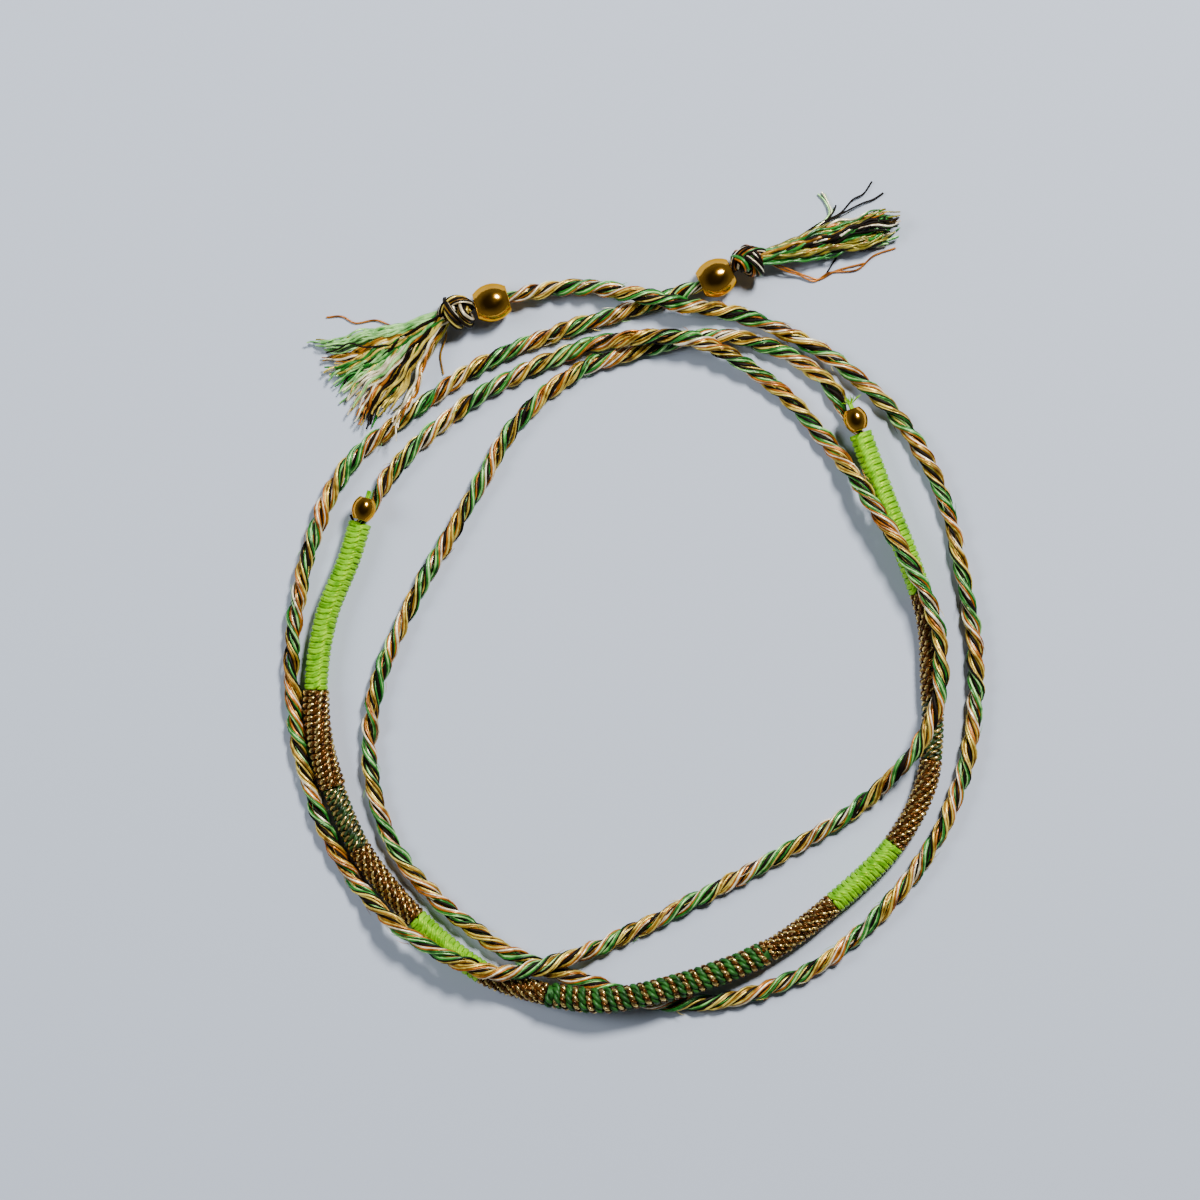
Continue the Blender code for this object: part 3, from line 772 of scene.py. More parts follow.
@dataclass
class TwistedCord:
    """One of the two free cords, from the mouth of the wrap to the knot beyond its bead."""

    name: str
    node: str
    route: tuple[tuple[float, float, Level], ...]
    wrap_first: bool
    seed: int
    inside_wrap: float = 0.6 * MM
    frays: Frays = Frays()
    lay: CordLay = CordLay()

    def width(self, distance: float, total: float) -> float:
        """The cord's width, which is less where it enters the bead or the wrap.

        Args:
            distance: How far along the route.
            total: The route's whole length.

        Returns:
            The width, as a share of the cord's full width.
        """
        from_wrap, from_bead = distance, total - distance
        if not self.wrap_first:
            from_wrap, from_bead = from_bead, from_wrap
        in_bead = eased((from_bead - SIZES.large_bead_length) / SIZES.bead_taper)
        in_wrap = eased((from_wrap - SIZES.gathered) / SIZES.wrap_taper)
        thin = SIZES.cord_in_bead + in_bead * (SIZES.cord - SIZES.cord_in_bead)
        gathered = SIZES.cord_at_wrap + in_wrap * (SIZES.cord - SIZES.cord_at_wrap)
        return min(thin, gathered) / SIZES.cord

    def fray(self, strands: StrandSet, track: Track) -> None:
        """Lifts a few broken filaments out of the cord.

        Args:
            strands: Where the filaments are gathered.
            track: The cord's centreline.
        """
        chance = random.Random(self.seed)
        frays = self.frays
        for _ in range(frays.count):
            distance = chance.uniform(frays.clear_start, track.length - frays.clear_end)
            place, side, up = track.at(distance)
            out = around(side, up, chance.uniform(-frays.past_side, math.pi + frays.past_side))
            along = track.heading(distance) * chance.choice((-1, 1))
            reach = frays.root_share * SIZES.cord * self.width(distance, track.length)
            length = chance.uniform(*frays.length)
            lift = chance.uniform(*frays.lift)
            root = place + out * reach
            bend = root + along * length * 0.5 + out * lift * frays.bow
            line = [root, bend, root + along * length + out * lift]
            for point in line:
                point.z = max(point.z, frays.lowest)
            strands.add(line, frays.radii, chance.choice(self.lay.threads))

    def build(self, effect: FibreEffect, with_pieces: Sequence[str]) -> bpy.types.Object:
        """Lays the cord's threads.

        Args:
            effect: The shared fibre group.
            with_pieces: Names of the bead, knot and tassel on it; not used.

        Returns:
            The cord's piece.
        """
        dense = smooth_route(self.route)
        track = Track.through(dense)
        strands = StrandSet(self.name, effect, self.lay.sides)
        start = -self.inside_wrap if self.wrap_first else 0.0
        end = track.length if self.wrap_first else track.length + self.inside_wrap
        self.lay.lay(strands, track, start, end, lambda d: self.width(d, track.length), self.seed)
        self.fray(strands, track)
        piece = strands.build()
        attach(piece, BODY)
        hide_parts(self.node)
        faces = len(piece.data.polygons)
        LOG.info("%s: %.0f mm long, %d faces", self.name, track.length / MM, faces)
        return piece


@dataclass(frozen=True)
class Yarn:
    """A yarn that is wound round the core: two strands, twisted on each other or side by side."""

    threads: tuple[Thread, Thread]
    strand_radius: float
    twist_length: float
    points_per_twist: int = 7
    flat: bool = False
    flat_spread: float = 0.95
    flat_ripple: float = 0.15
    twist_reach: float = 0.9
    twist_height: float = 1.6

    @property
    def radius(self) -> float:
        """Half the yarn's height above what it is wound on."""
        return self.strand_radius * (1.0 if self.flat else self.twist_height)

    def offset(self, run: float, number: int) -> tuple[float, float]:
        """How far a strand lies from the yarn's middle.

        Args:
            run: The length of yarn up to here.
            number: Which of the two strands it is.

        Returns:
            How far it lies outwards, and how far along the core.
        """
        twist = 2 * math.pi * run / self.twist_length + math.pi * number
        if self.flat:
            outwards = self.flat_ripple * self.strand_radius * math.cos(twist)
            return outwards, (number - 0.5) * self.flat_spread * self.strand_radius
        reach = self.twist_reach * self.strand_radius
        return reach * math.cos(twist), reach * math.sin(twist)


NEON_YARN = Yarn((Thread.NEON, Thread.NEON), 0.21 * MM, 2.3 * MM, 9, True)
TINSEL_YARN = Yarn((Thread.BROWN_TINSEL, Thread.TINSEL), 0.175 * MM, 0.9 * MM)
THICK_TINSEL_YARN = Yarn((Thread.BROWN_TINSEL, Thread.TINSEL), 0.19 * MM, 1.0 * MM)
DARK_YARN = Yarn((Thread.DARK_WOUND, Thread.TINSEL), 0.165 * MM, 1.4 * MM, 8)
GREEN_YARN = Yarn((Thread.GREEN_WOUND, Thread.GREEN_WOUND), 0.225 * MM, 1.5 * MM, 9)
STRIPE_YARN = Yarn((Thread.TINSEL, Thread.BROWN_TINSEL), 0.185 * MM, 0.95 * MM)


@dataclass(frozen=True)
class BandStyle:
    """What one kind of band is wound from, and how thick it is."""

    slot: str
    diameter: float
    pitch: float
    yarns: tuple[Yarn, ...]
    sleeve: Thread
    sides: Sides
    stitch: bool = True

    @property
    def drop(self) -> float:
        """How far its axis lies below the route, so that every band rests on the same plane."""
        return HEIGHTS[Level.WRAP] - self.diameter / 2


class Band(Enum):
    """The kinds of wound band."""

    # Its sleeve is the darker neon copy: painted shade in the grooves between the turns.
    NEON = BandStyle(
        "neon_thread", SIZES.neon, 0.62 * MM, (NEON_YARN,), Thread.NEON_PAINTED_SHADE, Sides.SIX
    )
    GOLD = BandStyle(
        "brown_gold_thread", SIZES.gold, 0.57 * MM, (TINSEL_YARN,), Thread.BROWN_TINSEL, Sides.FOUR
    )
    THICK_GOLD = BandStyle(
        "brown_gold_thread", SIZES.thick_gold, 0.64 * MM, (THICK_TINSEL_YARN,),
        Thread.BROWN_TINSEL, Sides.FOUR
    )
    DARK = BandStyle(
        "dark_thread", SIZES.dark, 0.58 * MM, (DARK_YARN,), Thread.DARK_WOUND, Sides.FOUR
    )
    GREEN = BandStyle(
        "green_thread", SIZES.green, 1.46 * MM, (GREEN_YARN, STRIPE_YARN), Thread.GREEN_WOUND,
        Sides.SIX, False
    )


WRAP_BANDS = (
    ("wrap_01_neon", 18.3 * MM, Band.NEON), ("wrap_02_gold", 10.5 * MM, Band.THICK_GOLD),
    ("wrap_03_dark", 6.9 * MM, Band.DARK), ("wrap_04_gold", 9.5 * MM, Band.GOLD),
    ("wrap_05_neon", 9.0 * MM, Band.NEON), ("wrap_06_gold", 7.3 * MM, Band.GOLD),
    ("wrap_07_green", 24.4 * MM, Band.GREEN), ("wrap_08_gold", 8.5 * MM, Band.GOLD),
    ("wrap_09_neon", 8.8 * MM, Band.NEON), ("wrap_10_gold", 9.9 * MM, Band.GOLD),
    ("wrap_11_dark", 6.2 * MM, Band.DARK), ("wrap_12_gold", 11.5 * MM, Band.GOLD),
    ("wrap_13_neon", 17.9 * MM, Band.NEON),
)


@dataclass(frozen=True)
class Winding:
    """One yarn's turns in a band: where they start, how many there are and how far apart."""

    yarn: Yarn
    style: BandStyle
    start: float
    turns: int
    pitch: float


@dataclass
class WoundLength:
    """The middle of the bracelet: a core wound with bands of thread, hitched along a spine."""

    spine: float = math.radians(100)
    spine_turn: float = math.radians(0.15) / MM
    spine_middle: float = 60 * MM
    crossing_share: float = 0.13
    lift: float = 0.10 * MM
    lift_share: float = 0.07
    tuck_share: float = 0.12
    tuck_depth: float = 0.2 * MM
    stitch_reach: float = math.radians(21)
    stitch_lead: float = 0.3
    stitch_depth: float = 0.34 * MM
    stitch_height: float = 0.36 * MM
    stitch_steps: int = 8
    sleeve_inset: float = 0.1 * MM
    sleeve_spacing: float = 1.0 * MM
    track: Track = field(default_factory=lambda: Track.through(smooth_route(WRAP_ROUTE)))

    @property
    def start(self) -> float:
        """Where the first band begins: the bands are centred on their route."""
        return (self.track.length - sum(length for _, length, _ in WRAP_BANDS)) / 2

    def spine_at(self, distance: float) -> float:
        """The angle round the band at which its turns cross over, this far along."""
        return self.spine + self.spine_turn * (distance - self.start - self.spine_middle) / 2

    def point(self, distance: float, angle: float, reach: float, drop: float) -> Vector:
        """The point at this angle and reach round an axis that lies below the route."""
        place, side, up = self.track.at(distance)
        return place - Vector((0, 0, drop)) + around(side, up, angle) * reach

    def wind(self, strands: StrandSet, winding: Winding) -> None:
        """Winds one yarn round the core.

        Args:
            strands: Where the yarn's strands are gathered.
            winding: The yarn and its turns.
        """
        yarn, style, turns = winding.yarn, winding.style, winding.turns
        reach = style.diameter / 2 - yarn.radius
        round_turn = 2 * math.pi * reach
        count = math.ceil(turns * round_turn / yarn.twist_length * yarn.points_per_twist)
        for number, thread in enumerate(yarn.threads):
            points = []
            for step in range(count + 1):
                turn = turns * step / count
                whole = math.floor(turn + 0.5)
                off = turn - whole
                crossing, lift = off + 0.5, 0.0
                if style.stitch:
                    crossing = eased(off / self.crossing_share + 0.5)
                    lift = self.lift * math.exp(-((off / self.lift_share) ** 2))
                turns_on = min(max(whole - 1 + crossing, 0.0), turns - 1)
                distance = winding.start + winding.pitch * turns_on
                tuck = eased(min(turn, turns - turn) / self.tuck_share)
                angle = self.spine_at(distance) - 2 * math.pi * off
                outwards, along = yarn.offset(turn * round_turn, number)
                out = reach - (1 - tuck) * self.tuck_depth + lift + outwards
                points.append(self.point(distance + along, angle, out, style.drop))
            strands.add(points, [yarn.strand_radius] * len(points), thread)

    def hitch(self, strands: StrandSet, winding: Winding) -> None:
        """Lays the short stitches that lock each turn to the one before it along the spine.

        Args:
            strands: Where the stitches are gathered.
            winding: The yarn that they are made of, and its turns.
        """
        yarn, style = winding.yarn, winding.style
        for turn in range(1, winding.turns):
            middle = winding.start + winding.pitch * (turn - 0.5)
            spine = self.spine_at(middle)
            points = []
            for step in range(self.stitch_steps + 1):
                share = step / self.stitch_steps - 0.5
                hump = self.stitch_height * math.cos(math.pi * share)
                distance = middle + winding.pitch * (self.stitch_lead - share)
                angle = spine + 2 * share * self.stitch_reach
                reach = style.diameter / 2 - self.stitch_depth + hump
                points.append(self.point(distance, angle, reach, style.drop))
            strands.add(points, [yarn.strand_radius] * len(points), yarn.threads[0])

    def lay_sleeve(self, strands: StrandSet, style: BandStyle, start: float, end: float) -> None:
        """Lays the plain sleeve that shows between a band's turns; the neon band's sleeve is a
        darker neon, painted shade in the grooves.

        Args:
            strands: Where the band's strands are gathered.
            style: The band's kind.
            start: Distance at which the band begins.
            end: Distance at which it ends.
        """
        radius = style.diameter / 2 - max(yarn.radius for yarn in style.yarns)
        inset = self.sleeve_inset
        stations = self.track.stations(start + inset, end - inset, self.sleeve_spacing)
        drop = Vector((0, 0, style.drop))
        line = [self.track.at(distance)[0] - drop for distance in stations]
        strands.add(line, [radius] * len(line), style.sleeve)

    def build_band(
        self, effect: FibreEffect, node: str, start: float, length: float, style: BandStyle
    ) -> None:
        """Builds one band.

        Args:
            effect: The shared fibre group.
            node: The solid that it replaces.
            start: Distance at which it begins.
            length: Its length.
            style: The band's kind.
        """
        strands = StrandSet(node + "_winding", effect, style.sides)
        self.lay_sleeve(strands, style, start, start + length)
        turns = round(length / style.pitch)
        pitch = length / turns
        width = sum(yarn.strand_radius for yarn in style.yarns)
        first = start
        for yarn in style.yarns:
            share = pitch * yarn.strand_radius / width
            winding = Winding(yarn, style, first + share / 2, turns, pitch)
            self.wind(strands, winding)
            if style.stitch:
                self.hitch(strands, winding)
            first += share
        piece = strands.build()
        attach(piece, BODY)
        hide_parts(node)
        LOG.info("%s: %d faces", piece.name, len(piece.data.polygons))

    def build(self, effect: FibreEffect) -> None:
        """Builds every band, and dresses the core inside them.

        Args:
            effect: The shared fibre group.
        """
        start = self.start
        for node, length, band in WRAP_BANDS:
            self.build_band(effect, node, start, length, band.value)
            start += length
        core = bpy.data.objects["wrap_core"]
        core.data.materials.clear()
        core.data.materials.append(Thread.BLACK.value.material(effect))


class BrassFinish:
    """Polished brass with soft dents and faint tarnish."""

    NAME = "polished_brass"
    BRIGHT = (0.84, 0.46, 0.06, 1.0)
    TARNISHED = (0.58, 0.25, 0.02, 1.0)
    EDGE_TINT = (1.0, 0.72, 0.30, 1.0)
    ROUGHNESS = (0.06, 0.22)
    TARNISH_SIZE = 1.6 * MM
    TARNISH_DETAIL = 4.0
    DENT_SIZE = 0.9 * MM
    DENT_DETAIL = 1.0
    DENT_DEPTH = 0.08 * MM
    DENT_STRENGTH = 0.5

    def material(self) -> bpy.types.Material:
        """The brass, made once.

        Returns:
            The material.
        """
        found = bpy.data.materials.get(self.NAME)
        if found:
            return found
        material, shader = new_material(
            self.NAME, {"Metallic": 1.0, "Specular Tint": self.EDGE_TINT}
        )
        tree, links = material.node_tree, material.node_tree.links
        place = add_node(tree, "ShaderNodeTexCoord")
        tarnish = add_node(
            tree, "ShaderNodeTexNoise",
            {"Scale": 1 / self.TARNISH_SIZE, "Detail": self.TARNISH_DETAIL}
        )
        links.new(place.outputs["Object"], tarnish.inputs["Vector"])
        shade = add_node(
            tree, "ShaderNodeMix", {"A": self.BRIGHT, "B": self.TARNISHED}, data_type="RGBA"
        )
        links.new(tarnish.outputs["Fac"], shade.inputs["Factor"])
        links.new(shade.outputs["Result"], shader.inputs["Base Color"])
        low, high = self.ROUGHNESS
        gloss = add_node(tree, "ShaderNodeMapRange", {"To Min": low, "To Max": high})
        links.new(tarnish.outputs["Fac"], gloss.inputs["Value"])
        links.new(gloss.outputs["Result"], shader.inputs["Roughness"])
        dents = add_node(
            tree, "ShaderNodeTexNoise", {"Scale": 1 / self.DENT_SIZE, "Detail": self.DENT_DETAIL}
        )
        links.new(place.outputs["Object"], dents.inputs["Vector"])
        bump = add_node(
            tree, "ShaderNodeBump", {"Strength": self.DENT_STRENGTH, "Distance": self.DENT_DEPTH}
        )
        links.new(dents.outputs["Fac"], bump.inputs["Height"])
        links.new(bump.outputs["Normal"], shader.inputs["Normal"])
        return material


@dataclass
class DrilledBead:
    """A spun brass barrel with rounded lips and a bore."""

    name: str
    node: str
    heading: Vector
    diameter: float
    length: float
    end_diameter: float
    bore: float
    lip: float = 0.12 * MM
    lip_ease: float = 0.3
    arc_steps: int = 14
    turns: int = 64
    weld: float = 0.001 * MM

    def profile(self) -> list[Vector]:
        """The barrel's outline, from one lip round its outside to the other.

        Returns:
            The outline's points, in the plane that is spun.
        """
        half = self.length / 2
        mouth = self.bore / 2
        bulge = (self.diameter - self.end_diameter) / 2
        arc = (half * half + bulge * bulge) / (2 * bulge)
        reach = math.asin((half - self.lip) / arc)
        end = self.diameter / 2 - arc * (1 - math.cos(reach))
        ease = self.lip_ease * self.lip
        top = [
            (mouth, half - self.lip), (mouth + ease, half), (end - self.lip, half),
            (end - ease, half - ease),
        ]
        side = []
        for step in range(self.arc_steps + 1):
            angle = reach - 2 * reach * step / self.arc_steps
            side.append((self.diameter / 2 - arc * (1 - math.cos(angle)), arc * math.sin(angle)))
        bottom = [(x, -z) for x, z in reversed(top)]
        return [Vector((x, 0, z)) for x, z in top + side + bottom]

    def build(self) -> bpy.types.Object:
        """Spins the bead and sets it where its solid is.

        Returns:
            The bead's piece.
        """
        shape = bmesh.new()
        corners = [shape.verts.new(point) for point in self.profile()]
        edges = [shape.edges.new(pair) for pair in zip(corners, corners[1:] + corners[:1])]
        bmesh.ops.spin(
            shape, geom=corners + edges, cent=(0, 0, 0), axis=(0, 0, 1), dvec=(0, 0, 0),
            angle=2 * math.pi, steps=self.turns, use_merge=True
        )
        bmesh.ops.remove_doubles(shape, verts=shape.verts, dist=self.weld)
        bmesh.ops.recalc_face_normals(shape, faces=shape.faces)
        low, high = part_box(self.node)
        turn = self.heading.to_track_quat("Z", "X").to_matrix().to_4x4()
        placing = Matrix.Translation((low + high) / 2) @ turn
        bmesh.ops.transform(shape, matrix=placing, verts=shape.verts)
        for face in shape.faces:
            face.smooth = True
        mesh = bpy.data.meshes.new(self.name)
        shape.to_mesh(mesh)
        shape.free()
        piece = add_object(self.name, mesh)
        mesh.materials.append(BrassFinish().material())
        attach(piece, BODY)
        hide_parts(self.node)
        LOG.info("%s: %.1f mm across", self.name, self.diameter / MM)
        return piece


@dataclass
class KnottedEnd:
    """The overhand knot beyond a large bead: slanted turns of the same cord, and one across."""

    name: str
    node: str
    heading: Vector
    threads: tuple[Thread, ...]
    crown: float
    seed: int
    turns: float = 1.8
    first_angle: float = 0.9
    coil_radius: float = 1.2 * MM
    pitch: float = 1.05 * MM
    strand: float = 1.36 * MM
    slant: float = 0.44
    slant_angle: float = 0.7
    tuck_share: float = 0.08
    tucked_radius: float = 0.25
    tucked_length: float = 0.85
    crown_reach: float = 1.55 * MM
    crown_length: float = 3.3 * MM
    crown_share: float = 0.8
    crown_seed: int = 7
    lay_length: float = 9.0 * MM
    thread_radius: float = 0.2 * MM
    roll_length: float = 60 * MM
    spacing: float = 0.22 * MM
    steps: int = 90

    def coil(self, centre: Vector, axis: Vector, side: Vector, up: Vector) -> list[Vector]:
        """The line of the knot's slanted turns.

        Args:
            centre: The knot's middle.
            axis: The direction in which the cord runs out.
            side: The level direction across it.
            up: The direction across both.

        Returns:
            The points of the line.
        """
        points = []
        for step in range(self.steps + 1):
            share = step / self.steps
            angle = 2 * math.pi * self.turns * share + self.first_angle
            tuck = eased(min(share, 1 - share) / self.tuck_share)
            reach = self.coil_radius * (self.tucked_radius + (1 - self.tucked_radius) * tuck)
            along = (share - 0.5) * self.turns * self.pitch
            along *= self.tucked_length + (1 - self.tucked_length) * tuck
            along += self.slant * reach * math.cos(angle - self.slant_angle) * tuck
            points.append(centre + axis * along + around(side, up, angle) * reach)
        return points

    def bridge(self, centre: Vector, axis: Vector, outwards: Vector) -> list[Vector]:
        """The line of the turn that crosses over the others.

        Args:
            centre: The knot's middle.
            axis: The direction in which the cord runs out.
            outwards: The direction in which the turn stands out.

        Returns:
            The points of the line.
        """
        points = []
        for step in range(self.steps + 1):
            share = step / self.steps
            inside = 0 < share < 1
            reach = self.crown_reach * math.sqrt(math.sin(math.pi * share)) if inside else 0.0
            along = (share - 0.5) * self.crown_length
            points.append(centre + axis * along + outwards * reach)
        return points

    def build(self, effect: FibreEffect) -> bpy.types.Object:
        """Lays the knot's turns where its solid is.

        Args:
            effect: The shared fibre group.

        Returns:
            The knot's piece.
        """
        low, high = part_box(self.node)
        centre = (low + high) / 2
        axis = self.heading.normalized()
        side = axis.cross(Vector((0, 0, 1))).normalized()
        up = side.cross(axis)
        strands = StrandSet(self.name, effect, Sides.SIX)
        lay = CordLay(
            self.threads, lay_length=self.lay_length, thread_radius=self.thread_radius,
            roll_length=self.roll_length, spacing=self.spacing
        )
        full = self.strand / SIZES.cord
        track = Track.through(self.coil(centre, axis, side, up))
        lay.lay(strands, track, 0.0, track.length, lambda _: full, self.seed)
        track = Track.through(self.bridge(centre, axis, around(side, up, self.crown)))
        crown = self.crown_share * full
        lay.lay(strands, track, 0.0, track.length, lambda _: crown, self.seed + self.crown_seed)
        piece = strands.build()
        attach(piece, BODY)
        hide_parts(self.node)
        LOG.info("%s: %d faces", self.name, len(piece.data.polygons))
        return piece


LEFT_KNOT_THREADS = (Thread.CREAM, Thread.BLACK, Thread.YELLOW, Thread.GOLD, Thread.BLACK)
RIGHT_KNOT_THREADS = (Thread.GREEN, Thread.COPPER, Thread.BLACK, Thread.CREAM, Thread.BLACK)


@dataclass(frozen=True)
class Lock:
    """One lock of a tassel: its tip in millimetres, bow, heights and main thread."""

    x: float
    y: float
    bow: float
    tip_height: float
    middle_height: float
    thread: Thread
    count: int = 11


LEFT_LOCKS = (
    Lock(-32.3, 27.9, 0.04, 0.5, 0.7, Thread.MINT_AND_SHEEN),
    Lock(-31.4, 26.3, 0.03, 0.5, 0.6, Thread.GOLD),
    Lock(-30.7, 25.1, 0.02, 0.5, 0.9, Thread.YELLOW),
    Lock(-30.1, 23.8, 0.0, 0.5, 0.6, Thread.GREEN),
    Lock(-29.4, 22.3, -0.02, 0.5, 0.6, Thread.MINT_AND_SHEEN),
    Lock(-28.6, 21.0, -0.03, 0.5, 0.9, Thread.CREAM),
    Lock(-27.8, 19.9, -0.04, 0.5, 0.6, Thread.COPPER),
    Lock(-26.6, 19.6, -0.03, 0.6, 1.3, Thread.BLACK, 13),
    Lock(-25.2, 20.6, -0.02, 0.5, 0.6, Thread.YELLOW),
    Lock(-23.6, 18.6, -0.02, 2.2, 1.6, Thread.CREAM, 7),
)
RIGHT_LOCKS = (
    Lock(27.8, 42.0, 0.07, 0.6, 0.9, Thread.OLIVE, 12),
    Lock(27.8, 41.1, 0.04, 0.9, 1.6, Thread.GREEN, 14),
    Lock(28.2, 40.5, 0.02, 1.2, 2.0, Thread.BLACK, 11),
    Lock(28.4, 39.9, -0.01, 0.6, 1.2, Thread.GREEN, 14),
    Lock(27.9, 39.3, -0.04, 0.9, 1.6, Thread.OLIVE, 11),
    Lock(28.3, 38.9, -0.07, 0.5, 0.7, Thread.GREEN, 10),
)
LEFT_LOOSE = (
    Thread.GREEN, Thread.BLACK, Thread.CREAM, Thread.GOLD, Thread.COPPER, Thread.OLIVE, Thread.MINT_AND_SHEEN,
    Thread.YELLOW,
)
RIGHT_LOOSE = (
    Thread.GREEN, Thread.BLACK, Thread.CREAM, Thread.GOLD, Thread.COPPER, Thread.OLIVE, Thread.MINT_AND_SHEEN,
    Thread.BLACK, Thread.OLIVE,
)


Stray = tuple[Thread, Route]


@dataclass(frozen=True)
class Scatter:
    """How much the threads of one lock differ: distances in millimetres, angles, and shares."""

    tip: float = 0.46
    tip_height: tuple[float, float] = (-0.3, 0.6)
    root: float = 0.28
    root_height: float = 0.3
    bow: float = 0.014
    middle_height: tuple[float, float] = (-0.35, 0.7)
    length: tuple[float, float] = (0.9, 1.04)
    swing: tuple[float, float] = (0.8, 1.2)
    lag: float = 0.35
    radius: tuple[float, float] = (0.8, 1.25)


@dataclass
class Tassel:
    """A brush of loose thread ends beyond a knot."""

    name: str
    node: str
    knot: str
    heading: Vector
    locks: tuple[Lock, ...]
    loose: tuple[Thread, ...]
    strays: tuple[Stray, ...]
    seed: int
    scatter: Scatter = Scatter()
    root_distance: float = 1.35 * MM
    thread_radius: float = 0.16 * MM
    thinned: float = 0.45
    stray_radius: float = 0.1 * MM
    stray_steps: int = 8
    swing: float = 0.3 * MM
    swing_length: float = 7 * MM
    crimp: float = 0.12 * MM
    crimp_length: float = 3.0 * MM
    main_share: float = 0.55
    rings: int = 34

    def root(self) -> Vector:
        """Where the threads leave the knot."""
        low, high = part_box(self.knot)
        return (low + high) / 2 + self.heading.normalized() * self.root_distance

    def strand(self, root: Vector, lock: Lock, phase: float, chance: random.Random) -> list[Vector]:
        """One loose thread's line, from the knot to the tip of its lock.

        Args:
            root: Where the tassel leaves the knot.
            lock: The lock that the thread lies in.
            phase: Where in its wave the whole lock begins.
            chance: The tassel's own random numbers.

        Returns:
            The points of the thread.
        """
        by = self.scatter
        spread = Vector(
            (chance.gauss(0, by.tip), chance.gauss(0, by.tip), chance.uniform(*by.tip_height))
        )
        tip = Vector((lock.x, lock.y, lock.tip_height)) * MM + spread * MM
        shift = Vector(
            (chance.gauss(0, by.root), chance.gauss(0, by.root), chance.gauss(0, by.root_height))
        )
        start = root + shift * MM
        across = Vector((start.y - tip.y, tip.x - start.x, 0))
        middle = start.lerp(tip, 0.5) + across * (lock.bow + chance.gauss(0, by.bow))
        middle.z = (lock.middle_height + chance.uniform(*by.middle_height)) * MM
        length_share = chance.uniform(*by.length)
        swing = chance.uniform(*by.swing) * self.swing
        length = (tip - start).length
        wave = 2 * math.pi * length / self.swing_length
        first = phase + chance.gauss(0, by.lag)
        crimp_lag = chance.uniform(0, 2 * math.pi)
        sideways = across.normalized()
        points = []
        for step in range(self.rings):
            share = length_share * step / (self.rings - 1)
            place = start.lerp(middle, share).lerp(middle.lerp(tip, share), share)
            place += sideways * (math.sin(first + wave * share) - math.sin(first)) * swing * share
            run = 2 * math.pi * share * length / self.crimp_length + crimp_lag
            crimp = self.crimp * min(1.0, 3 * share)
            place += sideways * math.sin(run) * crimp + Vector((0, 0, math.cos(run) * crimp))
            place.z = max(place.z, self.thread_radius)
            points.append(place)
        return points

    def stray_line(self, root: Vector, route: Route) -> list[Vector]:
        """The smooth line of one stray thread.

        Args:
            root: Where the tassel leaves the knot.
            route: The stray's points in millimetres.

        Returns:
            The points of the line.
        """
        points = [root] + [Vector(point) * MM for point in route]
        padded = [2 * points[0] - points[1], *points, 2 * points[-1] - points[-2]]
        line = []
        for i in range(len(points) - 1):
            for step in range(self.stray_steps):
                line.append(spline_step(*padded[i : i + 4], step / self.stray_steps))
        return [*line, points[-1]]

    def build(self, effect: FibreEffect) -> bpy.types.Object:
        """Lays every loose thread of the tassel.

        Args:
            effect: The shared fibre group.

        Returns:
            The tassel's piece.
        """
        chance = random.Random(self.seed)
        strands = StrandSet(self.name, effect, Sides.SIX)
        root = self.root()
        ends = [1 - self.thinned * (i / (self.rings - 1)) ** 4 for i in range(self.rings)]
        for lock in self.locks:
            phase = chance.uniform(0, 2 * math.pi)
            for _ in range(lock.count):
                main = chance.random() < self.main_share
                thread = lock.thread if main else chance.choice(self.loose)
                points = self.strand(root, lock, phase, chance)
                radius = self.thread_radius * chance.uniform(*self.scatter.radius)
                strands.add(points, [radius * end for end in ends], thread)
        for thread, route in self.strays:
            line = self.stray_line(root, route)
            strands.add(line, [self.stray_radius] * len(line), thread)
        piece = strands.build()
        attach(piece, BODY)
        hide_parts(self.node)
        LOG.info("%s: %d faces", self.name, len(piece.data.polygons))
        return piece


